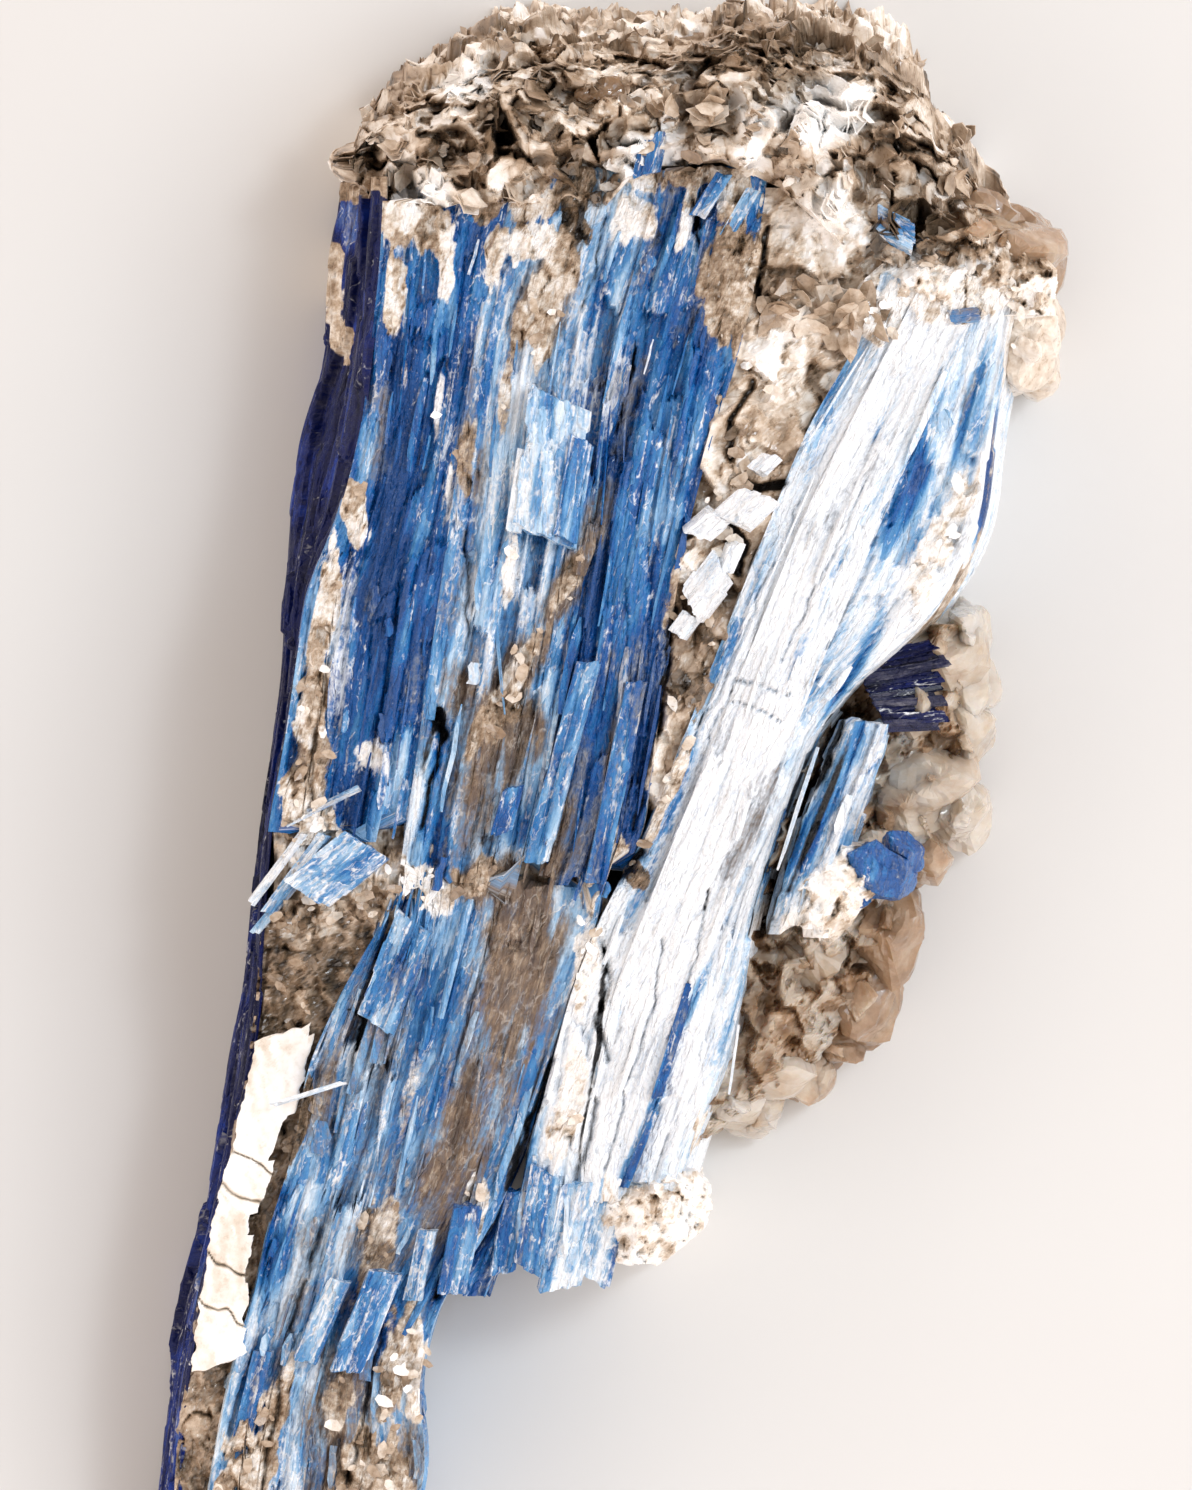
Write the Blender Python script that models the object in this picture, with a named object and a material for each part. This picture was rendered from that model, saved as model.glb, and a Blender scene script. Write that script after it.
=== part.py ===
"""A kyanite blade cluster, lying on its side.

Blue and pale kyanite blades fan out side by side. Their upper ends run into a crust of mica, stained mica
fills the grooves between them, and quartz lumps close the right flank. The plan is drawn in millimetres: +Y
runs up the blades, +X across them and +Z away from the surface that the specimen lies on.

Neighbouring blades share one boundary line. Each blade is a grid laid between its two lines, lifted to the
specimen's crest and cut into laths, and then extruded down to its feet, one height for each lath.
"""

import bmesh
import bpy
import numpy as np
from mathutils import Vector

MM = 0.001

# Driving dimensions, in millimetres.
GAP = 0.3  # clearance between neighbouring crystals
FOOT_RELIEF = 1.6  # how far the laths' feet differ in height
SECTION_STEP = 8.0  # spacing of the sections along a blade
STEP_WIDTH = 0.35  # width of the small step between two laths of a blade
BREAK_LENGTH = 0.5  # length of the small step across a lath where it has broken
BREAK_HEIGHT = 0.7  # the most that a lath rises or drops at a break
CREST_REACH = 11.0  # how far each crest mark is felt
CAP_CLEARANCE = 0.9  # between the blades' upper ends and the mica crust
LEDGES = [(0.0, 0.6), (0.35, 6.0), (1.2, 6.8), (1.6, 12.0), (2.4, 13.0)]  # outward, and down from the crest

COLLECTION = "kyanite_blade_cluster"
JOINED = "joined_crystals"

# Boundary lines in plan, each as (y, x) from the lower end to the upper one.
LINES = {
    "outer_left": [
        (-88, -46), (-80, -45.6), (-64, -43.8), (-56, -42.4), (-48, -40.2), (-32, -37.6), (-24, -36),
        (-8, -34.4), (8, -32.2), (24, -31.6), (32, -30.6), (40, -27.8), (48, -27.6), (56, -26),
    ],
    "flank_crest": [
        (-88, -43.2), (-72, -42.6), (-64, -41.6), (-56, -40.2), (-48, -38.2), (-32, -35.2), (-24, -34.2),
        (-8, -33), (0, -31.4), (16, -29), (24, -25.6), (32, -23.6), (48, -21.8), (56, -21.4),
    ],
    "left_middle": [(-16, -20.4), (0, -18), (24, -14.6), (40, -12.4), (48, -11), (56, -9)],
    "middle_right": [(-16, -8.6), (0, -5), (16, -2), (24, -0.6), (32, 0.2), (40, 1.4), (56, 6)],
    "right_seam": [(-16, 1), (-8, 4), (16, 7.4), (24, 9), (40, 13.4), (48, 15), (56, 16.4)],
    "seam_pale": [
        (-56, -7.6), (-48, -8.4), (-40, -6.8), (-24, -2.6), (-16, 0.6), (-8, 5), (8, 11.2), (24, 17.6),
        (32, 20.8), (40, 25.6), (48, 28.6),
    ],
    "pale_left": [(-56, -3), (-48, -1.4), (-40, -1.8), (-24, 1.6), (-8, 8), (8, 14.4), (24, 20.8), (48, 33)],
    "pale_right": [(-48, 1.2), (-32, 6.4), (-8, 15.6), (8, 21.6), (24, 28.4), (40, 35.6), (48, 39)],
    "pale_outer": [
        (-48, 8.4), (-40, 10.2), (-32, 13.8), (-24, 15.6), (-16, 16.8), (-8, 19.2), (0, 22), (4, 24.4),
        (8, 28.4), (12, 33.4), (16, 36.4), (20, 38.6), (24, 39.8), (32, 40.6), (40, 42.2), (48, 43.6),
    ],
    "slit": [(-24, 16.3), (-16, 17.7), (-8, 20.1), (0, 22.9), (4, 25.3)],
    "lower_outer": [(-24, 18), (-20, 20), (-16, 23), (-8, 25.6), (0, 28.6), (4, 29)],
    "quartz_inner": [
        (-40, 10.6), (-32, 14.2), (-24, 16), (-20, 20.4), (-16, 23.4), (-8, 26), (0, 29), (4, 29.6),
        (8, 30), (12, 34.2), (16, 36.8),
    ],
    "outer_right": [
        (-40, 12), (-36, 17.4), (-32, 22), (-28, 26.4), (-24, 28.6), (-20, 30), (-16, 31.8), (-12, 35.2),
        (-8, 36.4), (0, 39.4), (4, 40), (8, 37.4), (12, 37.8), (16, 38.4),
    ],
    "lower_left": [
        (-88, -40.4), (-72, -38.8), (-64, -37.2), (-56, -34.8), (-48, -33), (-40, -30.4), (-32, -29.2),
        (-24, -25.6), (-16, -20.8), (-8, -19.2),
    ],
    "lower_middle": [
        (-88, -31.6), (-64, -28.8), (-56, -26.8), (-40, -22.4), (-24, -18.4), (-16, -17), (-8, -16.2),
    ],
    "lower_right": [
        (-88, -23), (-80, -19.6), (-72, -17.6), (-64, -18.6), (-56, -16.6), (-48, -11.2), (-40, -7.6),
        (-24, -3.2), (-16, 0),
    ],
    "tip_outer": [(-56, -12.4), (-48, -9.2), (-44, -8.4)],
    "corner_inner": [(38, 42.6), (44, 43.8), (48, 44.4), (50, 39.8), (56, 39.8)],
    "corner_outer": [(38, 43.8), (40, 46), (44, 46.5), (48, 46.7), (52, 46), (56, 43.4)],
}

# The mica crust's lower and upper edges, each as (x, y) from left to right, and the height of its spine.
CAP_FOOT = [
    (-25, 57.5), (-20, 52.5), (-14, 54.5), (-6, 54.5), (0, 53.5), (4, 58), (12, 58.5), (18, 56),
    (24, 50.5), (30, 48), (39, 48),
]
CAP_TOP = [
    (-25, 59.5), (-24, 63), (-21, 67.5), (-17, 69.8), (-13, 72), (-10, 74.2), (-4, 74), (5, 73),
    (10, 73.3), (14, 75), (20, 75), (26, 74.5), (31, 71.3), (33, 68), (33.6, 64.5), (36, 62.5), (39, 57.5),
]
CAP_SPINE = [(-25, 15), (-19, 22), (-10, 26.5), (5, 28), (18, 29), (28, 28), (34, 25), (39, 21)]
# Lumps and hollows of the crust, as (x, y, height, radius).
CAP_LUMPS = [
    (-15, 64, 1.8, 4), (-8, 70, -2.0, 3), (-2, 61, 2.6, 4), (4, 68, -1.2, 3), (10, 64, -2.4, 3.5),
    (17, 69, 2.6, 5), (26, 66, 2.2, 4), (24, 56, 1.2, 3), (31, 53, -2.6, 3), (35, 57, 2.0, 3),
]

# Heights of the specimen's crest, as (x, y, z).
CREST_MARKS = [
    (-20, 48, 23.5), (-14, 36, 25), (-18, 20, 24.5), (-24, 8, 23.5), (-18, -4, 24), (-4, 44, 25.5),
    (-6, 24, 26), (-10, 4, 25.5), (-8, -10, 24.5), (10, 48, 26.5), (6, 28, 26.5), (2, 6, 25.5),
    (0, -10, 24.5), (30, 40, 25.5), (38, 36, 23.5), (26, 20, 25), (34, 20, 23), (18, 0, 24),
    (10, -14, 23), (4, -30, 20.5), (12, -32, 18.5), (0, -46, 17), (24, -4, 21.5), (-10, -20, 22),
    (-14, -34, 21), (-24, -24, 21.5), (-20, -46, 19.5), (-30, -52, 18), (-24, -64, 17),
    (-36, -70, 16), (-30, -84, 13.5), (-36, -40, 19.5),
]

MUSCOVITE_OUTLINE = [
    (-32.4, -28.6), (-30.8, -31), (-32, -38), (-33.4, -44), (-35.4, -47.4), (-36.8, -54), (-38.2, -60.2),
    (-40.6, -59.5), (-39.8, -54), (-37.8, -48), (-36, -40), (-34.8, -33), (-34.2, -29.5),
]

# Surface finishes: base colour, roughness.
FINISHES = {
    "deep_blue_kyanite": ((0.030, 0.095, 0.330), 0.35),
    "pale_kyanite": ((0.620, 0.720, 0.860), 0.35),
    "stained_kyanite": ((0.230, 0.190, 0.160), 0.45),
    "mica_crust": ((0.270, 0.215, 0.165), 0.55),
    "muscovite": ((0.800, 0.800, 0.790), 0.30),
    "quartz": ((0.520, 0.400, 0.290), 0.25),
    "stained_mica": ((0.300, 0.245, 0.195), 0.70),
}


def clear_scene():
    for thing in list(bpy.data.objects):
        bpy.data.objects.remove(thing)
    for name in (COLLECTION, JOINED):
        bpy.context.scene.collection.children.link(bpy.data.collections.new(name))


def finish(name):
    """The material of that name, made the first time that it is asked for."""
    found = bpy.data.materials.get(name)
    if found:
        return found
    colour, roughness = FINISHES[name]
    made = bpy.data.materials.new(name)
    made.use_nodes = True
    shader = made.node_tree.nodes["Principled BSDF"]
    shader.inputs["Base Color"].default_value = (*colour, 1.0)
    shader.inputs["Roughness"].default_value = roughness
    shader.inputs["Metallic"].default_value = 0.0
    made.diffuse_color = (*colour, 1.0)
    return made


def line_x(name, y):
    """Where a boundary line runs at height y of the plan."""
    knots = np.array(LINES[name], float)
    return np.interp(y, knots[:, 0], knots[:, 1])


def follow(knots, x):
    """The value at x of a line through (x, value) knots."""
    knots = np.array(knots, float)
    return np.interp(x, knots[:, 0], knots[:, 1])


def crest(x, y):
    """Height of the specimen's crest: the marks' mean, each weighted by a bell curve of its distance."""
    x, y = np.asarray(x, float), np.asarray(y, float)
    marks = np.array(CREST_MARKS, float)
    apart = (x[..., None] - marks[:, 0]) ** 2 + (y[..., None] - marks[:, 1]) ** 2
    weight = np.exp(-apart / (2 * CREST_REACH**2)) + 1e-12
    return (weight * marks[:, 2]).sum(-1) / weight.sum(-1)


def add_object(name, mesh, finish_name):
    data = bpy.data.meshes.new(name)
    mesh.to_mesh(data)
    mesh.free()
    data.materials.append(finish(finish_name))
    thing = bpy.data.objects.new(name, data)
    bpy.data.collections[COLLECTION].objects.link(thing)
    return thing


def sheet_solid(name, top, feet, finish_name):
    """The solid under a sheet: top[row, column] is a point in millimetres, and each stands over its own
    foot, at height feet[row, column]. Rows run along the crystal and columns across it."""
    rows, columns = top.shape[:2]
    feet = np.broadcast_to(feet, (rows, columns))
    mesh = bmesh.new()
    bmesh.ops.create_grid(mesh, x_segments=columns - 1, y_segments=rows - 1, size=0.5)
    foot_under = {}
    for vertex in mesh.verts:
        column = round((vertex.co.x + 0.5) * (columns - 1))
        row = round((vertex.co.y + 0.5) * (rows - 1))
        vertex.co = Vector(top[row, column] * MM)
        foot_under[vertex.co.copy().freeze()] = feet[row, column] * MM
    made = bmesh.ops.extrude_face_region(mesh, geom=mesh.faces[:])["geom"]
    for vertex in (item for item in made if isinstance(item, bmesh.types.BMVert)):
        vertex.co.z = foot_under[vertex.co.copy().freeze()]
    under = [item for item in made if isinstance(item, bmesh.types.BMFace)]
    mesh.normal_update()
    bmesh.ops.dissolve_limit(
        mesh,
        angle_limit=0.002,
        verts=list({vertex for face in under for vertex in face.verts}),
        edges=list({edge for face in under for edge in face.edges}),
    )
    bmesh.ops.recalc_face_normals(mesh, faces=mesh.faces[:])
    return add_object(name, mesh, finish_name)


def section_levels(low, high, breaks=()):
    """The sections strictly between low and high, with a close pair of them at each break."""
    plain = np.arange(np.floor(low / SECTION_STEP + 1) * SECTION_STEP, high, SECTION_STEP)
    plain = [y for y in plain if all(abs(y - at) > 2 * BREAK_LENGTH for at in breaks)]
    pairs = [at + side * BREAK_LENGTH / 2 for at in breaks for side in (-1, 1)]
    return np.array(sorted([*plain, *pairs]))


def lath_columns(laths, width):
    """Where the columns lie across a blade, as shares of its width, and the lath that each belongs to.
    Each lath has its two edges and a middle, and a small step parts it from the next."""
    step = STEP_WIDTH / width
    shares, owner = [], []
    for k in range(laths):
        start = k / laths + (step / 2 if k else 0)
        end = (k + 1) / laths - (step / 2 if k < laths - 1 else 0)
        shares += [start, (start + end) / 2, end]
        owner += [k, k, k]
    return np.array(shares), np.array(owner)


def lath_feet(chance, owner):
    """A foot height for each column: one for each lath, the lowest on the surface."""
    feet = chance.uniform(0, FOOT_RELIEF, owner.max() + 1)
    return (feet - feet.min())[owner]


def blade(
    name, left, right, low, high, laths, seed, finish_name, rise=0.0, relief=0.7, jag=3.0, breaks=(), ledges=False
):
    """A blade between two boundary lines, from about low to about high, made of parallel laths.

    Each lath has its own height, crown, foot and broken ends, drawn from the seed, and rises or drops at
    each of the breaks. With ledges, the blade's right side steps outwards as it goes down."""
    chance = np.random.default_rng(seed)
    middle = (low + high) / 2
    shelf = LEDGES[-1][0] if ledges else 0.0
    shares, owner = lath_columns(laths, line_x(right, middle) - line_x(left, middle) - shelf)
    lift = chance.uniform(-relief, relief, laths)[owner]
    crown = np.where(np.arange(len(shares)) % 3 == 1, 0.35 * relief, 0.0)
    low_ends = (low + chance.uniform(0, jag, laths))[owner]
    high_ends = (high - chance.uniform(0, jag / 2, laths))[owner]

    def across(y):
        start, end = line_x(left, y) + GAP / 2, line_x(right, y) - GAP / 2 - shelf
        return start + shares * (end - start)

    high_ends = np.minimum(high_ends, follow(CAP_FOOT, across(high_ends)) - CAP_CLEARANCE)
    inside = section_levels(low_ends.max() + 1, high_ends.min() - 1, breaks)
    levels = np.vstack([low_ends, np.repeat(inside[:, None], len(shares), 1), high_ends])
    points = np.empty((*levels.shape, 3))
    points[..., 0] = [across(y) for y in levels]
    points[..., 1] = levels
    height = crest(points[..., 0], points[..., 1]) + rise + lift + crown
    for at in breaks:
        height += np.where(levels > at, chance.uniform(-BREAK_HEIGHT, BREAK_HEIGHT, laths)[owner], 0)
    points[..., 2] = height
    feet = lath_feet(chance, owner)
    if ledges:
        outward, drop = np.array(LEDGES).T
        side = np.repeat(points[:, -1:], len(LEDGES), axis=1)
        side[..., 0] += outward + 0.1
        side[..., 2] -= drop
        points = np.concatenate([points, side], axis=1)
        feet = np.append(feet, 1.0 + outward)
    return sheet_solid(name, points, feet, finish_name)


def lined_sheet(left, right, levels, shares):
    """An empty sheet between two boundary lines: points[row, column] with x and y set."""
    start, end = line_x(left, levels), line_x(right, levels) - GAP / 2
    points = np.zeros((len(levels), len(shares), 3))
    points[..., 0] = start[:, None] + shares * (end - start)[:, None]
    points[..., 1] = levels[:, None]
    return points


def flank_blade():
    """The thick blade on edge along the left side: its face slopes from the crest down to the surface."""
    levels = np.array([-87, *section_levels(-86, 51), 53.0])
    points = lined_sheet("outer_left", "flank_crest", levels, np.array([0, 0.1, 0.3, 0.45, 0.62, 0.72, 1.0]))
    points[-1, :, 1] = follow(CAP_FOOT, points[-1, :, 0]) - CAP_CLEARANCE
    edge = crest(points[:, -1:, 0], points[:, -1:, 1]) - 0.8
    drop = np.array([0.16, 0.40, 0.46, 0.68, 0.74, 0.93, 1.0])
    facet = np.random.default_rng(11).uniform(-0.6, 0.6, points.shape[:2])
    points[..., 2] = drop * edge + facet
    return sheet_solid("flank_blade", points, np.array([1.5, 0.8, 0, 0, 0, 0, 0]), "deep_blue_kyanite")


def mica_crust():
    """The crust of mica scales over the blades' upper ends: a rounded, craggy shoulder."""
    across = np.linspace(-24.6, 38.8, 33)
    shares = np.array([0, 0.12, 0.25, 0.38, 0.51, 0.64, 0.76, 0.87, 0.95, 1.0])
    foot, top = follow(CAP_FOOT, across), follow(CAP_TOP, across)
    points = np.empty((len(shares), len(across), 3))
    points[..., 0] = across
    points[..., 1] = foot + shares[:, None] * (top - foot)
    profile = np.interp(shares, [0, 0.2, 0.45, 0.65, 0.8, 0.92, 1.0], [0.93, 0.99, 1.0, 0.93, 0.78, 0.55, 0.25])
    points[..., 2] = profile[:, None] * follow(CAP_SPINE, across)
    for x, y, height, radius in CAP_LUMPS:
        apart = (points[..., 0] - x) ** 2 + (points[..., 1] - y) ** 2
        points[..., 2] += height * np.exp(-apart / (2 * (radius / 2) ** 2))
    crag = np.random.default_rng(21).uniform(-1, 1, points.shape[:2])
    points[..., 2] += 1.3 * crag
    points[-1, 1:-1, 1] += 0.5 * crag[-1, 1:-1]
    feet = np.where(shares < 0.9, 0.0, 2.0)[:, None] + np.zeros(len(across))
    return sheet_solid("mica_crust", points, feet, "mica_crust")


def corner_block():
    """The squarish block of quartz at the upper right corner."""
    levels = np.array([38, 41, 44, 48, 50, 53, 55.5])
    points = lined_sheet("corner_inner", "corner_outer", levels, np.array([0, 0.35, 0.75, 1]))
    ridge = np.interp(levels, [38, 44, 50, 55.5], [19, 22, 23.5, 20])
    facet = np.random.default_rng(31).uniform(-0.5, 0.5, points.shape[:2])
    points[..., 2] = ridge[:, None] - np.array([0, 0.3, 1.4, 6.0]) + facet
    return sheet_solid("corner_quartz_block", points, np.array([0, 0, 0, 2.0]), "quartz")


def quartz_lump(name, low, high, height, seed, finish_name="quartz"):
    """One of the quartz lumps along the right side, lower than the blades and falling to the surface.
    Its height is that of its middle, and it is lower at its two ends."""
    levels = np.linspace(low + GAP / 2, high - GAP / 2, 8)
    points = lined_sheet("quartz_inner", "outer_right", levels, np.array([0, 0.2, 0.42, 0.64, 0.84, 1.0]))
    points[:, 0, 0] += GAP / 2
    chance = np.random.default_rng(seed)
    bow = 1 - 0.14 * np.linspace(-1, 1, len(levels)) ** 2
    fall = np.array([0.96, 1.03, 1.0, 0.84, 0.6, 0.24]) * chance.uniform(0.9, 1.06, (len(levels), 6))
    points[..., 2] = fall * height * bow[:, None] + chance.uniform(-0.8, 0.8, fall.shape)
    return sheet_solid(name, points, np.array([0, 0, 0, 0, 0.4, 1.2]), finish_name)


def grown_on(host, name, start, end, width, low, high, tilt=0.0, slant=0.0):
    """A small crystal that has grown on a blade, joined to it: a long box from start to end in plan, from
    height low to high, narrower at its top. Its upper end stands tilt millimetres over its lower one, and
    its ends are cut at a slant."""
    start, end = Vector((*start, 0)), Vector((*end, 0))
    run = end - start
    mesh = bmesh.new()
    bmesh.ops.create_cube(mesh, size=1.0)
    for vertex in mesh.verts:
        along, across, up = vertex.co + Vector((0.5, 0, 0.5))
        across *= 0.82 if up > 0.5 else 1.0
        along += slant * across * (1 if along > 0.5 else -1)
        vertex.co.x = along * run.length * MM
        vertex.co.y = across * width * MM
        vertex.co.z = (low + up * (high - low) + along * tilt) * MM
    bmesh.ops.bevel(
        mesh, geom=mesh.edges[:], offset=0.06 * width * MM, segments=1, affect="EDGES", clamp_overlap=True
    )
    bmesh.ops.recalc_face_normals(mesh, faces=mesh.faces[:])
    data = bpy.data.meshes.new(name)
    mesh.to_mesh(data)
    mesh.free()
    thing = bpy.data.objects.new(name, data)
    bpy.data.collections[JOINED].objects.link(thing)
    thing.location = start * MM
    thing.rotation_euler.z = np.arctan2(run.y, run.x)
    thing.parent = host
    thing.hide_render = True
    thing.display_type = "WIRE"
    join = host.modifiers.new(name, "BOOLEAN")
    join.operation = "UNION"
    join.solver = "EXACT"
    join.object = thing


def muscovite_plate():
    """The silvery mica plate that lies on the stained mica beside the flank blade."""
    middle_y = np.mean(MUSCOVITE_OUTLINE, axis=0)[1]
    curve = bpy.data.curves.new("muscovite_plate", "CURVE")
    curve.dimensions = "2D"
    curve.fill_mode = "BOTH"
    curve.extrude = 0.5 * MM
    edge = curve.splines.new("POLY")
    edge.points.add(len(MUSCOVITE_OUTLINE) - 1)
    for point, (x, y) in zip(edge.points, MUSCOVITE_OUTLINE):
        point.co = (x * MM, (y - middle_y) * MM, 0, 1)
    edge.use_cyclic_u = True
    curve.materials.append(finish("muscovite"))
    thing = bpy.data.objects.new("muscovite_plate", curve)
    bpy.data.collections[COLLECTION].objects.link(thing)
    thing.location = (0, middle_y * MM, 18.6 * MM)
    thing.rotation_euler.x = 0.07


def groove_mica():
    """The stained mica in the groove between the flank blade and the lower blades."""
    levels = np.array([-86, *section_levels(-85, -16), -15.4])
    points = lined_sheet("flank_crest", "lower_left", levels, np.array([0, 0.3, 0.7, 1]))
    points[:, 0, 0] += GAP / 2
    sink = np.interp(levels, [-86, -62, -54, -44, -30, -26, -20], [0.8, 1.0, 1.4, 1.75, 2.15, 2.15, 1.6])
    crag = np.random.default_rng(51).uniform(-0.3, 0.3, points.shape[:2])
    points[..., 2] = crest(points[..., 0], points[..., 1]) - sink[:, None] + crag
    return sheet_solid("groove_mica", points, 0.0, "stained_mica")


def crossing_crust():
    """The white crust across the groove where the upper blades end and the lower ones start."""
    across = np.array([-32.6, -30, -27.4, -24.6, -22.4, -20.6, -20.2, -17.6, -15, -12.4, -10, -7.4, -4.6, -2, 0.6])
    high = np.where(across < -20.4, -10.3, -13.2)
    low = np.full(len(across), -14.9)
    shares = np.array([0, 0.5, 1.0])
    points = np.empty((len(shares), len(across), 3))
    points[..., 0] = across
    points[..., 1] = low + shares[:, None] * (high - low)
    crag = np.random.default_rng(61).uniform(-0.5, 0.5, points.shape[:2])
    points[..., 2] = crest(points[..., 0], points[..., 1]) - 1.6 + crag
    return sheet_solid("crossing_crust", points, 0.0, "muscovite")


def build_blades():
    """The kyanite blades, from left to right and then down the specimen."""
    deep, pale, stained = "deep_blue_kyanite", "pale_kyanite", "stained_kyanite"
    flank_blade()
    left = blade("left_blue_blade", "flank_crest", "left_middle", -9.8, 54, 4, 1, deep, jag=0.5, breaks=(13,))
    middle = blade("middle_blade", "left_middle", "middle_right", -12.4, 57, 4, 2, pale, jag=0.8, breaks=(0, 20))
    blade("right_blue_blade", "middle_right", "right_seam", -12.8, 57, 4, 3, deep, 0.3, jag=0.8, breaks=(5,))
    blade("seam_mica", "right_seam", "seam_pale", -4.5, 56, 2, 4, "mica_crust", -1.2, 0.9, 0.5, (22,))
    blade("pale_left_blade", "seam_pale", "pale_left", -50, 47, 3, 5, pale, relief=0.6, breaks=(-22, 5))
    blade("pale_broad_blade", "pale_left", "pale_right", -46, 47, 3, 6, pale, 0.4, 0.5, breaks=(-12, 7))
    outer = blade("pale_right_blade", "pale_right", "pale_outer", -45, 47, 3, 7, pale, 0, 0.5, 3, (-18, 5), True)
    lower = blade("pale_lower_blade", "slit", "lower_outer", -18.5, 3, 2, 8, pale, rise=-1.0, jag=1.0)
    blade("lower_blue_blade", "lower_left", "lower_middle", -88, -15.2, 3, 9, deep, jag=4.0, breaks=(-26, -62))
    blade("stained_blade", "lower_middle", "lower_right", -87, -15.2, 4, 10, stained, -0.4, 0.7, 4, (-34, -58))
    blade("tip_blade", "lower_right", "tip_outer", -55.5, -45, 1, 12, deep, rise=-3.0, jag=1.0)
    grown_on(middle, "ledge_crystal", (-3.9, 34), (-4.6, 20.6), 7.4, 23.0, 28.0, tilt=-0.4)
    grown_on(left, "crossing_crystal", (-31.4, -14.6), (-23.0, -8.6), 4.2, 22.6, 25.0, slant=0.2)
    grown_on(outer, "dark_side_crystal", (24.0, 5.4), (33.8, 6.8), 3.0, 19.6, 22.8, slant=-0.1)
    grown_on(lower, "blue_side_crystal", (23.4, -12.4), (31.4, -11.4), 5.4, 17.4, 20.4, slant=0.1)


def build_matrix():
    """The mica and quartz that the blades grew in."""
    groove_mica()
    crossing_crust()
    muscovite_plate()
    mica_crust()
    corner_block()
    quartz_lump("upper_quartz_knob", 2, 15, 16.5, 41)
    quartz_lump("middle_quartz_knob", -14, 2, 16, 42)
    quartz_lump("smoky_quartz", -27.5, -14, 15.5, 43)
    quartz_lump("quartz_toe", -38.5, -27.5, 12.5, 44)


def stand_on_origin():
    """Moves everything so that the origin is under the middle of the specimen, at its foot."""
    bpy.context.view_layer.update()
    things = bpy.data.collections[COLLECTION].objects
    corners = np.array([thing.matrix_world @ Vector(c) for thing in things for c in thing.bound_box])
    low, high = corners.min(0), corners.max(0)
    for thing in things:
        thing.location -= Vector(((low[0] + high[0]) / 2, (low[1] + high[1]) / 2, low[2]))


def main():
    clear_scene()
    build_blades()
    build_matrix()
    stand_on_origin()


main()
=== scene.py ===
# %% [markdown]
# # A kyanite blade cluster
# Kyanite grows in long flat blades. Each blade is a stack of thin laths that split lengthwise with ease and
# break across with little steps, so its surface is all fine straight lines. In this specimen blue and pale
# blades fan out side by side. Crumpled mica covers their upper ends, and lumps of quartz sit on one flank.
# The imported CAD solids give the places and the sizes. Everything below is worked out in millimetres in the
# plan of the blades: x across them, y along them, z up from the surface that the specimen lies on.

import bpy
import numpy as np
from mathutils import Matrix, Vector


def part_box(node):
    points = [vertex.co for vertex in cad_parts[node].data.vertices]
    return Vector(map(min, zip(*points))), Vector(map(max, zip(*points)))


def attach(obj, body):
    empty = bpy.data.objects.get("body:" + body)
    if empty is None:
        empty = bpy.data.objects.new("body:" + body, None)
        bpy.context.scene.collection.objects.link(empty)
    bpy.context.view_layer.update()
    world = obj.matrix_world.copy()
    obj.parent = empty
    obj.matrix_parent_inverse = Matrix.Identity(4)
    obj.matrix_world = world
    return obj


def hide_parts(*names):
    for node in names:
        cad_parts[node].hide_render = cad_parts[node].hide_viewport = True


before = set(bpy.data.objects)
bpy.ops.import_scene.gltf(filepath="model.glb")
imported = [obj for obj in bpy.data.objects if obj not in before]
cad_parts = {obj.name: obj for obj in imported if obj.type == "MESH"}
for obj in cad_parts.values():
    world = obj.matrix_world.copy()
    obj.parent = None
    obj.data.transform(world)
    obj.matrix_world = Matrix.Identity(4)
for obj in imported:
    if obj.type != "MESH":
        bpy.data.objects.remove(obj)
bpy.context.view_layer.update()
MM = 0.001

# The place in the plan of the crossing crust's lower left corner ties the plan to the frame.
CRUST_CORNER = np.array([-32.6, -14.9, 0.0])
PLAN_SHIFT = (np.array(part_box("crossing_crust")[0]) / MM - CRUST_CORNER) * [1, 1, 0]
print("nodes in the frame:", len(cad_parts), "and the plan is moved by", PLAN_SHIFT.round(2), "mm")

# %% [markdown]
# ## Numbers that look random but never change
# A natural surface needs thousands of small differences. A random generator would do, but the same place has
# to give the same answer in every piece and at every run. So each difference comes from a hash: whole numbers
# go in, their bits are mixed, and a number from 0 to 1 comes out. Smooth noise is such a number at each
# corner of a grid, blended between the corners.


# %% Fixed chance and smooth noise
def chance(a, b=0, salt=0):
    """A fixed number from 0 to 1 for a pair of whole numbers: multiplied by large odd numbers, added, then
    shifted over themselves and multiplied again, so that every bit of the input stirs the output."""
    a, b = np.broadcast_arrays(np.asarray(a, float), np.asarray(b, float))
    a, b = a.astype(np.int64).astype(np.uint64), b.astype(np.int64).astype(np.uint64)
    mixed = a * np.uint64(0x9E3779B97F4A7C15) + b * np.uint64(0xC2B2AE3D27D4EB4F)
    mixed = mixed + np.full_like(mixed, (int(salt) * 0x165667B19E3779F9) % 2**64)
    for shift in (29, 32):
        mixed = (mixed ^ (mixed >> np.uint64(shift))) * np.uint64(0xBF58476D1CE4E5B9)
    return (mixed >> np.uint64(11)).astype(float) / 2**53


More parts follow.
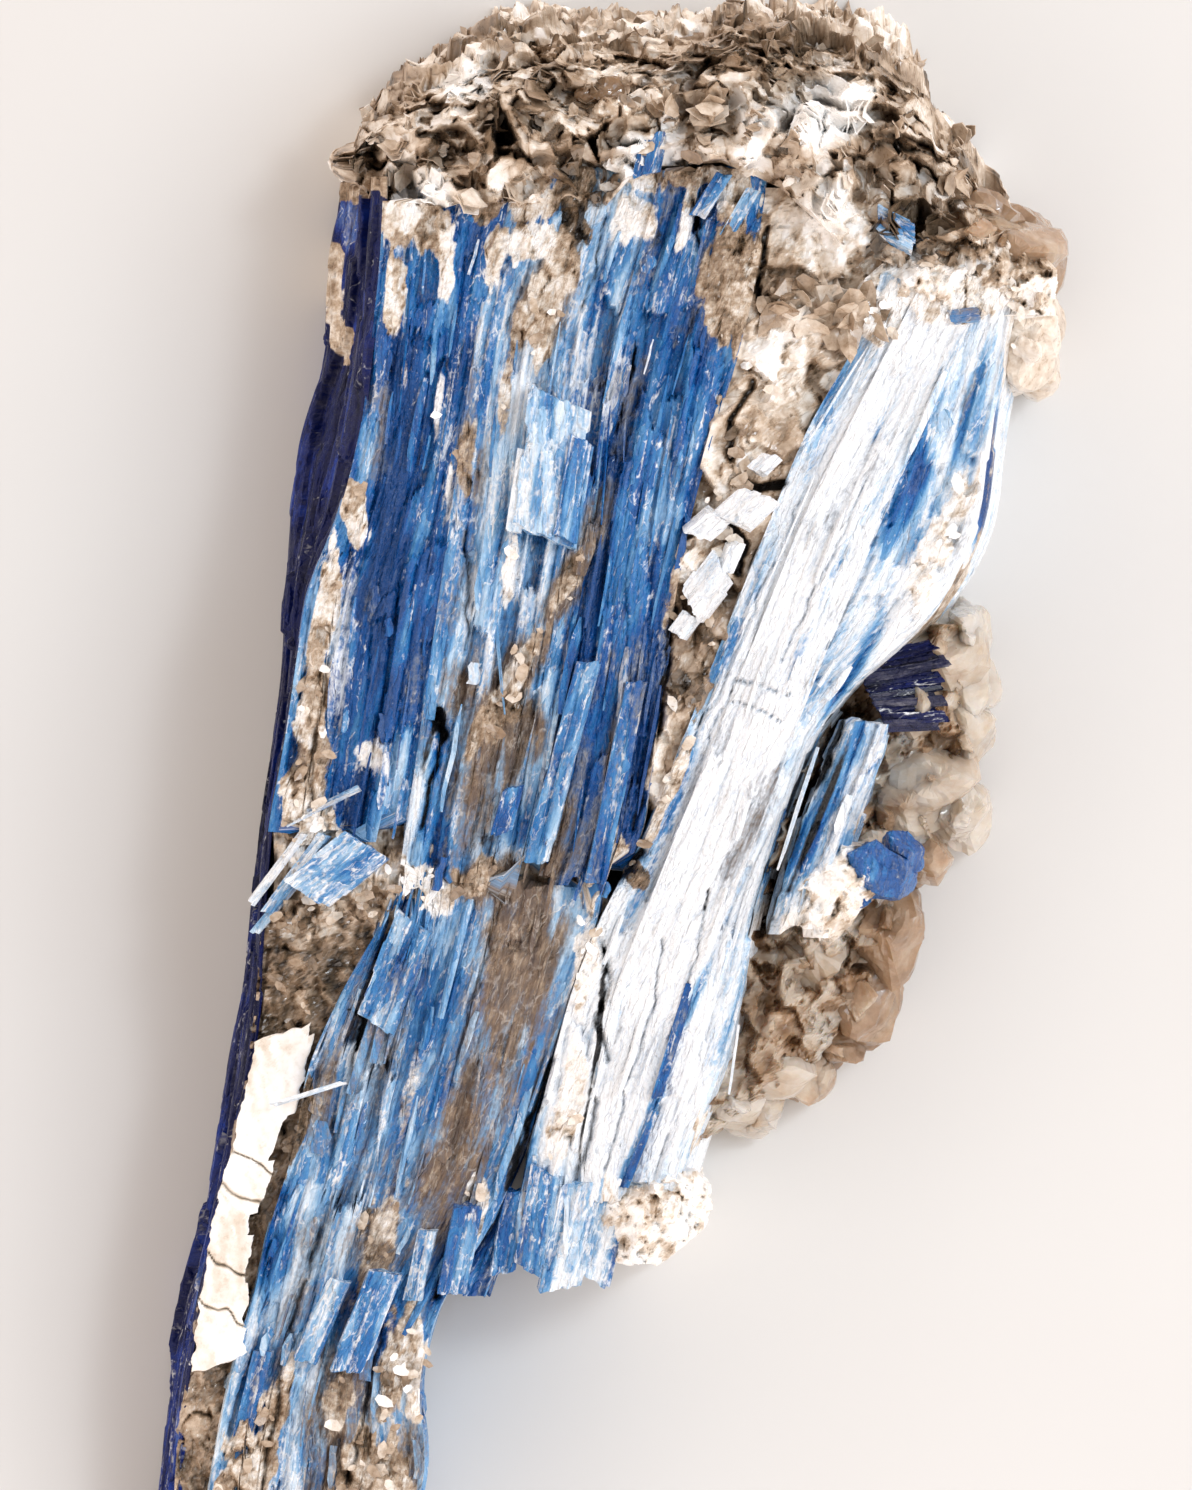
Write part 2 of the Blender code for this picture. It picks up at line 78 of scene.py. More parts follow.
def ripple(x, y, salt=0):
    """Smooth noise from -1 to 1: chance at the four corners of the unit square around (x, y), blended by
    3t^2 - 2t^3 each way."""
    x, y = np.broadcast_arrays(np.asarray(x, float), np.asarray(y, float))
    left, low = np.floor(x), np.floor(y)
    s, t = x - left, y - low
    s, t = s * s * (3 - 2 * s), t * t * (3 - 2 * t)
    bottom = chance(left, low, salt) * (1 - s) + chance(left + 1, low, salt) * s
    top = chance(left, low + 1, salt) * (1 - s) + chance(left + 1, low + 1, salt) * s
    return 2 * (bottom * (1 - t) + top * t) - 1


def cloud(x, y, salt=0, layers=4):
    """Rough noise from about -1 to 1: ripples added up, each half the size and 0.55 the height of the last."""
    total, height = 0.0, 1.0
    for layer in range(layers):
        total = total + height * ripple(x * 2**layer + 17 * layer, y * 2**layer, salt + layer)
        height *= 0.55
    return total / 1.9


def soft_step(t):
    """0 below t = 0, 1 above t = 1, and 3t^2 - 2t^3 between them."""
    t = np.clip(t, 0, 1)
    return t * t * (3 - 2 * t)


def folds(x, y, salt):
    """Noise with creases, from 0 to 1: one less the absolute value of smooth noise, over three sizes."""
    total = sum(0.55**k * (1 - np.abs(ripple(x * 2**k, y * 2**k, salt + k) * 1.6)) for k in range(3))
    return total / 1.85


def leaves(x, y, size, salt):
    """Heaped leaves as a height field. One leaf sits in each cell of a grid, off its middle, with its own
    bearing, tilt and level. Its height is level + tilt * the way along its bearing, less a steep drop beyond
    its oval outline, and the highest leaf is seen. Gives that height and the leaf's own tone, both from about
    -1 to 1 in units of the size, and how near its rim the place is."""
    u = x / size + 0.22 * ripple(x / size * 1.9, y / size * 1.9, salt + 1)
    v = y / size + 0.22 * ripple(x / size * 1.9, y / size * 1.9, salt + 2)
    column, row = np.floor(u), np.floor(v)
    best, tone, rim = np.full(u.shape, -9.0), np.zeros(u.shape), np.zeros(u.shape)
    for step_x in (-1, 0, 1):
        for step_y in (-1, 0, 1):
            a, b = column + step_x, row + step_y
            dx, dy = u - a - 0.15 - 0.7 * chance(a, b, salt + 3), v - b - 0.15 - 0.7 * chance(a, b, salt + 4)
            bearing = 2 * np.pi * chance(a, b, salt + 5)
            on = dx * np.cos(bearing) + dy * np.sin(bearing)
            off = dy * np.cos(bearing) - dx * np.sin(bearing)
            far = np.hypot(on / 0.62, off / 0.95) + 0.25 * ripple(3 * dx + a * 7.7, 3 * dy + b * 3.1, salt + 6)
            tilt = 0.3 + 0.9 * chance(a, b, salt + 7)
            height = 1.1 * (chance(a, b, salt + 8) - 0.5) + tilt * on + 0.5 * off**2
            height = height - 2.4 * soft_step((far - 0.85) / 0.35)
            seen = height > best
            best = np.where(seen, height, best)
            tone = np.where(seen, chance(a, b, salt + 9), tone)
            rim = np.where(seen, far, rim)
    return size * best, 2 * tone - 1, soft_step((rim - 0.7) / 0.4)


print("chance of (1, 2):", chance(1, 2).round(4), " ripple at (0.5, 0.5):", ripple(0.5, 0.5).round(4))

# %% [markdown]
# ## The plan of the blades
# Neighbouring blades share one boundary line, as in the solids. A line is a few (y, x) knots, and a running
# mean rounds its corners. The crest gives the height of the specimen: each mark pulls the surface to its own
# height, and its pull fades with distance along a bell curve.

# %% Boundary lines and crest, in millimetres
LINES = {
    "outer_left": [
        (-88, -46), (-80, -45.6), (-64, -43.8), (-56, -42.4), (-48, -40.2), (-32, -37.6), (-24, -36),
        (-8, -34.4), (8, -32.2), (24, -31.6), (32, -30.6), (40, -27.8), (48, -27.6), (56, -26),
    ],
    "flank_crest": [
        (-88, -43.2), (-72, -42.6), (-64, -41.6), (-56, -40.2), (-48, -38.2), (-32, -35.2), (-24, -34.2),
        (-8, -33), (0, -31.4), (16, -29), (24, -25.6), (32, -23.6), (48, -21.8), (56, -21.4),
    ],
    "left_middle": [(-16, -20.4), (0, -18), (24, -14.6), (40, -12.4), (48, -11), (56, -9)],
    "middle_right": [(-16, -8.6), (0, -5), (16, -2), (24, -0.6), (32, 0.2), (40, 1.4), (56, 6)],
    "right_seam": [(-16, 1), (-8, 4), (16, 7.4), (24, 9), (40, 13.4), (48, 15), (56, 16.4)],
    "seam_pale": [
        (-56, -7.6), (-48, -8.4), (-40, -6.8), (-24, -2.6), (-16, 0.6), (-8, 5), (8, 11.2), (24, 17.6),
        (32, 20.8), (40, 25.6), (48, 28.6),
    ],
    "pale_left": [(-56, -3), (-48, -1.4), (-40, -1.8), (-24, 1.6), (-8, 8), (8, 14.4), (24, 20.8), (48, 33)],
    "pale_right": [(-48, 1.2), (-32, 6.4), (-8, 15.6), (8, 21.6), (24, 28.4), (40, 35.6), (48, 39)],
    "pale_outer": [
        (-48, 8.4), (-40, 10.2), (-32, 13.8), (-24, 15.6), (-16, 16.8), (-8, 19.2), (0, 22), (4, 24.4),
        (8, 28.4), (12, 33.4), (16, 36.4), (20, 38.6), (24, 39.8), (32, 40.6), (40, 42.2), (48, 43.6),
    ],
    "slit": [(-24, 16.3), (-16, 17.7), (-8, 20.1), (0, 22.9), (4, 25.3)],
    "lower_outer": [(-24, 18), (-20, 20), (-16, 23), (-8, 25.6), (0, 28.6), (4, 29)],
    "lower_left": [
        (-88, -40.4), (-72, -38.8), (-64, -37.2), (-56, -34.8), (-48, -33), (-40, -30.4), (-32, -29.2),
        (-24, -25.6), (-16, -20.8), (-8, -19.2),
    ],
    "lower_middle": [
        (-88, -31.6), (-64, -28.8), (-56, -26.8), (-40, -22.4), (-24, -18.4), (-16, -17), (-8, -16.2),
    ],
    "lower_right": [
        (-88, -23), (-80, -19.6), (-72, -17.6), (-64, -18.6), (-56, -16.6), (-48, -11.2), (-40, -7.6),
        (-24, -3.2), (-16, 0),
    ],
    "tip_outer": [(-56, -12.4), (-48, -9.2), (-44, -8.4)],
}
CREST_MARKS = np.array([
    (-20, 48, 23.5), (-14, 36, 25), (-18, 20, 24.5), (-24, 8, 23.5), (-18, -4, 24), (-4, 44, 25.5),
    (-6, 24, 26), (-10, 4, 25.5), (-8, -10, 24.5), (10, 48, 26.5), (6, 28, 26.5), (2, 6, 25.5),
    (0, -10, 24.5), (30, 40, 25.5), (38, 36, 23.5), (26, 20, 25), (34, 20, 23), (18, 0, 24),
    (10, -14, 23), (4, -30, 20.5), (12, -32, 18.5), (0, -46, 17), (24, -4, 21.5), (-10, -20, 22),
    (-14, -34, 21), (-24, -24, 21.5), (-20, -46, 19.5), (-30, -52, 18), (-24, -64, 17),
    (-36, -70, 16), (-30, -84, 13.5), (-36, -40, 19.5),
])
CREST_REACH = 11.0


def along_knots(knots, at):
    """The value at a place on a line through (place, value) knots."""
    return np.interp(at, *np.array(knots, float).T)


def line_x(name, y):
    """Where a boundary line runs at y: the knots joined by straight lines, then a mean over 5 mm of y."""
    return np.mean([along_knots(LINES[name], y + d) for d in (-2.5, -1.2, 0, 1.2, 2.5)], axis=0)


def crest(x, y):
    """Height of the specimen: the mean of the marks' heights, each weighted by exp(-distance^2 / 2 reach^2)."""
    total = weight = 0.0
    for mark_x, mark_y, height in CREST_MARKS:
        pull = np.exp(-((x - mark_x) ** 2 + (y - mark_y) ** 2) / (2 * CREST_REACH**2)) + 1e-12
        total, weight = total + pull * height, weight + pull
    return total / weight


print("height of the crest in the middle:", crest(0.0, 0.0).round(2), "mm")

# %% [markdown]
# ## Arrays into meshes
# Every piece is made of whole arrays: points, and faces as rows of point numbers. One function puts them in a
# mesh, with named values at the points that the materials read later. A closed piece has a volume with a sign,
# and the sign says whether its faces point outwards. If they don't, every face is turned round. Crystals break
# into facets, so most pieces are shaded flat.

# %% One way to make a piece
LOWEST = 0.02  # mm over the floor
made = {}


def put_mesh(name, points, faces, finish, nodes=(), fields=None, smooth=False):
    """A piece of the specimen. points is (n, 3) in plan millimetres, and faces a list of arrays, each (m, 3)
    or (m, 4). fields holds values at the points, one number or three each."""
    points = np.column_stack([points[:, :2], np.maximum(points[:, 2], LOWEST)])
    volume = sum(
        np.einsum("ij,ij->i", points[f[:, 0]], np.cross(points[f[:, k]], points[f[:, k + 1]])).sum()
        for f in faces for k in range(1, f.shape[1] - 1)
    )
    if volume < 0:
        faces = [f[:, ::-1] for f in faces]
    mesh = bpy.data.meshes.new(name)
    mesh.vertices.add(len(points))
    mesh.vertices.foreach_set("co", ((points + PLAN_SHIFT) * MM).astype(np.float32).ravel())
    corners = np.concatenate([f.ravel() for f in faces])
    sizes = np.concatenate([np.full(len(f), f.shape[1]) for f in faces])
    mesh.loops.add(len(corners))
    mesh.loops.foreach_set("vertex_index", corners.astype(np.int32))
    mesh.polygons.add(len(sizes))
    mesh.polygons.foreach_set("loop_start", (np.cumsum(sizes) - sizes).astype(np.int32))
    mesh.polygons.foreach_set("use_smooth", np.full(len(sizes), smooth))
    for field, values in (fields or {}).items():
        values = np.asarray(values, np.float32)
        kind, key = ("FLOAT_VECTOR", "vector") if values.ndim == 2 else ("FLOAT", "value")
        mesh.attributes.new(field, kind, "POINT").data.foreach_set(key, values.ravel())
    mesh.update(calc_edges=True)
    mesh.validate()
    mesh.materials.append(finish)
    piece = bpy.data.objects.new(name, mesh)
    bpy.context.scene.collection.objects.link(piece)
    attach(piece, "root")
    if len(nodes):
        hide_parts(*nodes)
    made[name] = int((sizes - 2).sum())
    print(f"{name}: {made[name]} triangles")
    return piece


def unit(vectors):
    """Rows of vectors, each divided by its length."""
    return vectors / np.linalg.norm(vectors, axis=1, keepdims=True)

# %% [markdown]
# ## Shader nodes
# A material is a small net of nodes. One helper adds a node with its settings and links: a value that is a
# socket is linked, and any other value is set. Colours are written as the hex values that a painter's chart
# gives, and turned to the linear light that Cycles works with.


# %% Colours and nodes
def linear(hex_value):
    """An sRGB hex colour as linear red, green, blue and alpha: v/12.92 below 0.04045, else
    ((v + 0.055)/1.055)^2.4."""
    value = np.array([int(hex_value[k:k + 2], 16) for k in (1, 3, 5)]) / 255
    value = np.where(value <= 0.04045, value / 12.92, ((value + 0.055) / 1.055) ** 2.4)
    return (*value.tolist(), 1.0)


def fill(tree, filled, **links):
    """Fills a node's inputs. A key is an input's name with _ for a space, or in_ and its place."""
    for key, value in links.items():
        socket = filled.inputs[int(key[3:]) if key.startswith("in_") else key.replace("_", " ")]
        if isinstance(value, bpy.types.NodeSocket):
            tree.links.new(value, socket)
        else:
            socket.default_value = value


def node(tree, kind, settings=None, **links):
    """Adds a node of that kind. Its settings go on the node itself, except stops, the (place, hex colour) pairs
    of a colour ramp, and the links fill its inputs."""
    added = tree.nodes.new("ShaderNode" + kind)
    for key, value in (settings or {}).items():
        if key != "stops":
            setattr(added, key, value)
            continue
        points = added.color_ramp.elements
        while len(points) < len(value):
            points.new(0.5)
        for point, (place, colour) in zip(points, value):
            point.position, point.color = place, linear(colour)
    fill(tree, added, **links)
    return added


def weighted(tree, start, *parts):
    """The start plus each part times its weight. A part, a weight or the start may be a socket or a number."""
    for part, weight in parts:
        start = node(tree, "Math", {"operation": "MULTIPLY_ADD"}, in_0=part, in_1=weight, in_2=start).outputs[0]
    return start


def new_material(name):
    """A material with a Principled shader alone, and its tree."""
    material = bpy.data.materials.new(name)
    material.use_nodes = True
    return material, material.node_tree, material.node_tree.nodes["Principled BSDF"]


print("kyanite blue in linear light:", [round(v, 3) for v in linear("#1F4F9E")])

# %% [markdown]
# ## Kyanite
# Kyanite is glassy on a fresh split and pearly where air has come in between the laths. Its index is about
# 1.72, so its gloss is strong. Its colour runs from milky white through powder blue to deep blue, in streaks
# that follow the laths, and iron from the rock stains it brown along the cracks. Four values at the points of
# each blade say how blue, milky and stained it is there, and how much painted shade darkens its crevices and
# pits. The nodes add what is finer than the mesh: streaks 0.1 to 0.3 mm wide and 2 to 6 mm long, and striae
# as bump.


# %% Kyanite, split along its laths
CRUST_TONES = [
    (0.0, "#1F1812"), (0.2, "#63523F"), (0.4, "#967F68"), (0.56, "#BDA993"), (0.72, "#E0D5C7"),
    (0.86, "#F4F0EB"), (1.0, "#FDFCFA"),
]
# The last colour is the near-black of painted shade in the crevices and pits.
MILK, AIR_LINE, SHADE_IN_GAPS = "#F5F8FB", "#A4B8D0", "#1A1B1E"
STRIAE_DEPTH = 0.24 * MM


def kyanite(name, blues, stains, gloss, slate="#8496AA", fringe="#E4DDD4", coat=0.3, level=0.2):
    """blues is a ramp from milky to the deepest blue, stains a ramp of iron browns, gloss the least and the
    most roughness, slate the colour round a stain, fringe that of the pale lines on it, coat the polish of
    the cleavage faces, and level the specular level below it."""
    material, tree, shader = new_material(name)
    blue, milk, stain, dark, crust, crust_tone = (
        node(tree, "Attribute", {"attribute_name": field}).outputs["Fac"]
        for field in ("blueness", "milkiness", "staining", "darkness", "crust", "crust_tone")
    )
    place = node(tree, "Attribute", {"attribute_name": "lath_place"}).outputs["Vector"]

    def stretched(across, along):
        """The place along and across the laths, in units of 1/along and 1/across millimetres."""
        return node(tree, "Mapping", Vector=place, Scale=(across, along, 1.0)).outputs["Vector"]

    def streaks(across, along):
        """Noise drawn out along the laths, from -0.5 to 0.5."""
        noise = node(tree, "TexNoise", Vector=stretched(across, along), Scale=1.0, Detail=3.0, Roughness=0.6)
        return weighted(tree, -0.5, (noise.outputs["Fac"], 1.0))

    def steps(value, low, high, full=1.0):
        """0 below low, full above high, and a smooth step between them."""
        smooth = {"interpolation_type": "SMOOTHSTEP"}
        return node(tree, "MapRange", smooth, Value=value, From_Min=low, From_Max=high, To_Max=full).outputs[0]

    def bent_cells(bend, noise_size, cell_size):
        """Crooked cells: noise of one stretch, times bend, moves the place before cells of another stretch are
        drawn on it. Gives the moved place, and the distance to the nearest edge of a cell."""
        noise = node(tree, "TexNoise", Vector=stretched(*noise_size), Scale=1.0, Detail=2.0).outputs["Color"]
        moved = node(tree, "VectorMath", {"operation": "MULTIPLY_ADD"}, in_0=noise, in_1=(bend,) * 3,
                     in_2=stretched(*cell_size)).outputs[0]
        edge = node(tree, "TexVoronoi", {"feature": "DISTANCE_TO_EDGE"}, Vector=moved, Scale=1.0)
        return moved, edge.outputs["Distance"]

    def edge_lines(edge, width, shown):
        """Lines along the cells' edges, where they are shown."""
        return weighted(tree, 0.0, (weighted(tree, 1.0, (steps(edge, 0.0, width), -1.0)), shown))

    # What is finer than the mesh: streaks, air films along crooked cells, and shelly breaks.
    soft, fine, hair, crumbs = streaks(0.7, 0.12), streaks(2.6, 0.30), streaks(7.0, 0.8), streaks(2.2, 1.3)
    grain = node(tree, "TexNoise", Vector=place, Scale=1.5, Detail=4.0, Roughness=0.65).outputs["Fac"]
    grain = weighted(tree, -0.5, (grain, 1.0))
    moved, web = bent_cells(0.9, (0.7, 0.5), (0.9, 0.20))
    shell = bent_cells(1.4, (1.1, 0.7), (1.0, 0.30))[1]
    wisps = edge_lines(web, 0.07, steps(streaks(0.8, 0.4), -0.06, 0.10))
    shells = edge_lines(shell, 0.10, steps(streaks(1.0, 0.5), -0.04, 0.14))
    films = node(tree, "Math", {"operation": "MAXIMUM"}, in_0=wisps, in_1=shells).outputs[0]
    cells = node(tree, "TexVoronoi", {"feature": "F1"}, Vector=moved, Scale=1.0).outputs["Color"]
    cells = node(tree, "SeparateXYZ", Vector=cells).outputs
    first_cell, second_cell = (weighted(tree, -0.5, (cells[axis], 1.0)) for axis in "XY")

    # The colour is laid on in layers, from the blue up: milk, air lines, stains, pale lines, crust, and last the
    # painted shade in crevices and pits.
    depth = weighted(tree, blue, (soft, 0.95), (fine, 0.28), (crumbs, 0.24), (first_cell, 0.22))
    veil = weighted(tree, milk, (fine, 0.7), (streaks(0.9, 0.25), 0.8), (hair, 0.35), (crumbs, 1.1),
                    (second_cell, 0.28), (films, 0.36))
    rust = weighted(tree, stain, (soft, 0.9), (crumbs, 0.8), (fine, 0.6))
    shade = weighted(tree, 0.5, (streaks(0.6, 0.35), 1.1), (fine, 0.8))
    browns = node(tree, "ValToRGB", {"stops": stains}, Fac=shade).outputs["Color"]
    shade = weighted(tree, crust_tone, (grain, 0.9))
    crust_colour = node(tree, "ValToRGB", {"stops": CRUST_TONES}, Fac=shade).outputs["Color"]
    colour = node(tree, "ValToRGB", {"stops": blues}, Fac=depth).outputs["Color"]
    for share, over in (
        (steps(veil, 0.34, 1.0, 0.96), linear(MILK)),
        (weighted(tree, 0.0, (films, steps(milk, 0.45, 0.75, 0.34))), linear(AIR_LINE)),
        (steps(rust, 0.18, 0.56, 0.55), linear(slate)),
        (steps(rust, 0.30, 0.95, 0.92), browns),
        (weighted(tree, 0.0, (films, steps(rust, 0.2, 0.5, 0.3))), linear(fringe)),
        (steps(weighted(tree, crust, (grain, 0.5)), 0.36, 0.62), crust_colour),
        (steps(weighted(tree, dark, (crumbs, 0.5)), 0.35, 0.75), linear(SHADE_IN_GAPS)),
    ):
        colour = node(tree, "Mix", {"data_type": "RGBA"}, in_0=share, in_6=colour, in_7=over).outputs[2]

    rough = node(tree, "MapRange", Value=crumbs, From_Min=-0.25, From_Max=0.25, To_Min=gloss[0], To_Max=gloss[1])
    ridges = weighted(tree, 0.0, (hair, 0.6), (fine, 1.0), (crumbs, 0.9), (steps(web, 0.0, 0.09), 0.4),
                      (steps(shell, 0.0, 0.25), 0.5), (grain, 1.2))
    relief = node(tree, "Bump", Strength=0.9, Distance=STRIAE_DEPTH, Height=ridges)
    fill(tree, shader, Base_Color=colour, Roughness=rough.outputs[0], IOR=1.72, Specular_IOR_Level=level,
         Coat_Weight=coat, Coat_Roughness=0.08, Normal=relief.outputs["Normal"])
    return material


# %% The blues, the browns and the four kyanite finishes
BLUES = [
    (0.0, "#EDF4FA"), (0.16, "#CFE1F1"), (0.32, "#97BFE0"), (0.48, "#5390C4"), (0.64, "#1F6DAE"),
    (0.80, "#0B5299"), (1.0, "#063F7C"),
]
# The navy ramp, its greys, slate and fringe are a blade edge's own deep blue darkened further: painted shade for the
# face that looks away from the light.
NAVY_DARKENED_AS_SHADE = [(0.0, "#4A6AAE"), (0.3, "#16348A"), (0.55, "#061550"), (0.8, "#030B3A"), (1.0, "#02041C")]
BROWNS = [(0.2, "#523E2D"), (0.45, "#69523A"), (0.6, "#80674B"), (0.85, "#B9A488")]
GREYS_DARKENED_AS_SHADE = [(0.25, "#1B1C2C"), (0.5, "#33344A"), (0.8, "#75737C")]
glassy_kyanite = kyanite("deep blue kyanite, glassy", BLUES, BROWNS, (0.14, 0.38))
pearly_kyanite = kyanite("pale kyanite, pearly", BLUES, BROWNS, (0.16, 0.4))
stained_kyanite = kyanite("iron-stained kyanite, fibrous", BLUES, BROWNS, (0.2, 0.45))
navy_kyanite_with_painted_shade = kyanite(
    "navy kyanite in painted shade, edge of a blade", NAVY_DARKENED_AS_SHADE, GREYS_DARKENED_AS_SHADE, (0.2, 0.45), slate="#10173C", fringe="#3E4266", coat=0.08, level=0.1
)
print("kyanite finishes:", [m.name for m in bpy.data.materials if "kyanite" in m.name])

# %% [markdown]
# ## Where the colours lie
# The blades aren't evenly coloured: each has its own share of blue, and there are clear patches, such as a
# milky band, a brown stain along a crack or a deep blue stripe. They could be painted, but then nothing could
# be changed later. So each patch is a soft ellipse with a place, two half sizes, a lean and a strength. Noise
# that is drawn out along the blade ruffles its edge, so that it looks like streaks.

# %% Patches of colour: (x, y, half width, half length, lean in degrees from +y to +x, strength)
PATCHES = {
    "blueness": [
        (-20, 29, 1.9, 13, 3, 0.2), (-22, 14, 2.8, 11, 6, 0.36), (-18, 9, 1.2, 6, 8, 0.25),
        (-24, -5, 2, 4, 8, 0.25), (-13.4, 36, 0.8, 6, 6, 0.25), (-5, 28, 1, 4, 8, 0.45),
        (-2, 27, 1.6, 4.5, 10, 0.3), (-5, 22, 3, 1.6, 0, 0.2), (-1, 18, 1.6, 3.6, 14, 0.3),
        (2, 28, 1.4, 3, 12, 0.25), (11, 44, 1.2, 10, 12, 0.25), (9.6, 25, 1, 12, 12, 0.2), (5, 0, 1.6, 13, 12, 0.3),
        (-1.6, 0, 1.4, 9, 14, 0.2), (-8, -8, 2, 2.2, 10, 0.35), (2, -10, 1.8, 4, 16, 0.25),
        (-17, -10, 1.6, 8, 6, 0.3), (-21, -22, 3, 7, 6, 0.35), (12, 9, 1, 12, 25, 0.28), (7, -6, 1, 10, 22, 0.26),
        (32.4, 31, 1.8, 11, 25, 0.24), (30, 25, 0.8, 6, 27, 0.24), (37.6, 35, 1.6, 6, 16, 0.34),
        (40.6, 26.5, 1.3, 9, 8, 1), (26, 9, 1, 8, 27, 0.34), (28.6, 33, 1, 9, 24, 0.26),
        (24.6, 20, 0.8, 9, 27, 0.24), (31, 25, 1, 8, 27, 0.26), (18, 6, 0.8, 7, 24, 0.28),
        (14.6, 6, 0.6, 9, 24, 0.24), (24, -2, 1.3, 7, 24, 0.2), (20, -10, 1.6, 6, 22, 0.28),
        (8.8, -26, 0.8, 5, 24, 0.45), (5.6, -35, 0.7, 5, 22, 0.55), (3, -41, 0.6, 4, 20, 0.5),
        (13.6, -27, 0.9, 7, 24, 0.25), (-7, -41, 1.2, 4.5, 16, 0.35), (-4, -50, 3.5, 3.2, 10, 0.35),
        (-25, -37, 2.2, 7, 10, 0.2), (-15, -49, 2, 6, 14, 0.5), (-24, -57, 4, 4.6, 14, 0.4),
        (-33, -50, 2.2, 7, 14, 0.35), (-35, -66, 2.2, 8, 14, 0.4), (-5, -25, 1.2, 6, 18, 0.3),
        (2, 43, 1.2, 5, 14, -0.2), (4.4, 3, 3.4, 11, 14, 0.34), (1, -8, 2.6, 5, 16, 0.4),
        (-1, 14, 1.6, 10, 12, 0.2),
    ],
    "milkiness": [
        (-22, -72, 4, 14, 12, 0.3), (-30, -80, 3, 8, 12, 0.25), (-18, 52, 3.2, 3.6, 20, 0.45),
        (-19, 34, 1.2, 5, 4, 0.3), (-15, 28, 1.3, 6, 4, 0.4), (-14.4, 22, 1, 4, 4, 0.25),
        (-25.5, 10, 1.6, 9, 6, 0.6), (-23, -1, 2, 2.2, 30, 0.45), (-12.6, 40, 1.5, 9, 6, 0.3),
        (-7, 38, 2, 6, 10, 0.25), (-1, 36, 2.6, 6, 10, 0.35), (-8.6, 17, 0.8, 3.2, 6, 0.6), (-4, 45, 2, 4, 10, 0.3),
        (2, 37, 0.9, 7, 14, 0.45), (5.4, 42, 1, 8, 14, 0.4), (-12, 9, 1.6, 4, 8, 0.25), (-13, 15, 1, 4, 6, 0.25),
        (-2, 10, 2.5, 1, 0, 0.2), (-6.5, -12, 1.5, 2.5, 8, 0.45), (-1, 44, 3, 9, 12, 0.12),
        # The long band at (21, 20) is partly the blade's own milk, partly a painted highlight where it faces the
        # light.
        (-9, 12, 4, 9, 10, 0.14), (21, 20, 3.4, 24, 27, 0.55), (14, 2, 3.4, 16, 27, 0.45),
        (9, -15, 4.5, 14, 25, 0.5), (30, 41, 4, 7, 24, 0.4), (36, 22, 2.4, 6, 24, 0.4), (31, 15, 2.4, 6, 27, 0.3),
        (2, -35, 3.6, 10, 20, 0.45), (-2, -26, 2.4, 8, 20, 0.5), (-5, -38, 1.2, 8, 18, 0.4),
        (22, -17, 2.4, 4, 22, 0.4), (26, -4, 1.6, 6, 24, 0.45), (-26, -29, 1.6, 3, 10, 0.4),
        (-24, -45, 1, 8, 14, 0.3), (-26, -36, 1, 6, 12, 0.25), (8, -33, 2, 10, 24, 0.3),
    ],
    "staining": [
        (-22, 32, 1.1, 5, 6, 0.5), (-5.6, 45, 3, 6, 14, 0.95), (-13.4, 32, 1, 8, 6, 0.45),
        (-12, 28, 0.9, 5, 6, 0.45), (-0.6, 22.5, 1.6, 4, 24, 0.7), (-4, 15, 1.7, 5, 30, 0.95),
        (-8, 8, 1.9, 4.6, 33, 0.95), (-11, 3, 1.9, 4, 35, 0.9), (-14.6, 6, 2.2, 3, 10, 0.55),
        (-7.6, 1, 3, 4.4, 20, 0.75), (-12, -4, 3.2, 6, 10, 0.6), (-9, -13, 6, 2.2, -14, 0.9),
        (-8, -21, 5.4, 9, 8, 0.9), (-11.6, -33, 3.4, 8, 12, 0.62), (-16, -44, 3.4, 7, 14, 0.6),
        (-22, -50, 3, 4, 14, 0.5), (-26, -66, 4, 9, 14, 0.5), (-22, -78, 5, 10, 12, 0.55),
        (-30, -82, 4, 9, 12, 0.5), (-3, -4, 1.2, 8, 14, 0.4), (1, -2, 0.9, 8, 14, 0.35), (17, -4, 2.4, 5, 26, 0.32),
        (14, -9, 2, 4, 26, 0.32), (7.6, 8, 0.7, 9, 12, 0.25), (3, 2, 0.9, 9, 12, 0.12), (-3, -9, 2.4, 4, 20, 0.5),
        (1.8, -29, 0.8, 6, 14, 0.45), (-8, 5, 4.6, 9, 12, 0.24), (-14, 12, 1.6, 9, 6, 0.22),
        (-22, -26, 4, 10, 12, 0.22), (-28, -48, 4, 14, 14, 0.22), (-28, -34, 1, 6, 14, 0.4),
        (27.5, 43, 3, 3, 0, 0.3), (-19, -57, 1.2, 5, 14, 0.5),
    ],
    # The last field is painted shade: dark spots where the blades gape.
    "darkness": [
        (-16, 3.4, 0.7, 1.2, 14, 0.9), (-17.2, 0, 0.4, 3, 14, 0.7), (22.2, -6, 0.5, 12, 22, 0.8),
        (3.5, -12.5, 1.6, 1.0, 60, 0.9), (0.2, -24, 0.35, 8, 4, 0.8), (-1.4, -36, 0.35, 8, 10, 0.8),
        (-6.6, -34, 0.35, 6, 16, 0.7), (-9, -42, 0.4, 4, 14, 0.7), (-25, -26, 1.8, 0.3, 30, 0.7),
        (5.2, 51, 1.6, 1.8, 20, 0.7), (-4.5, 30, 0.3, 4, 6, 0.5),
    ],
}


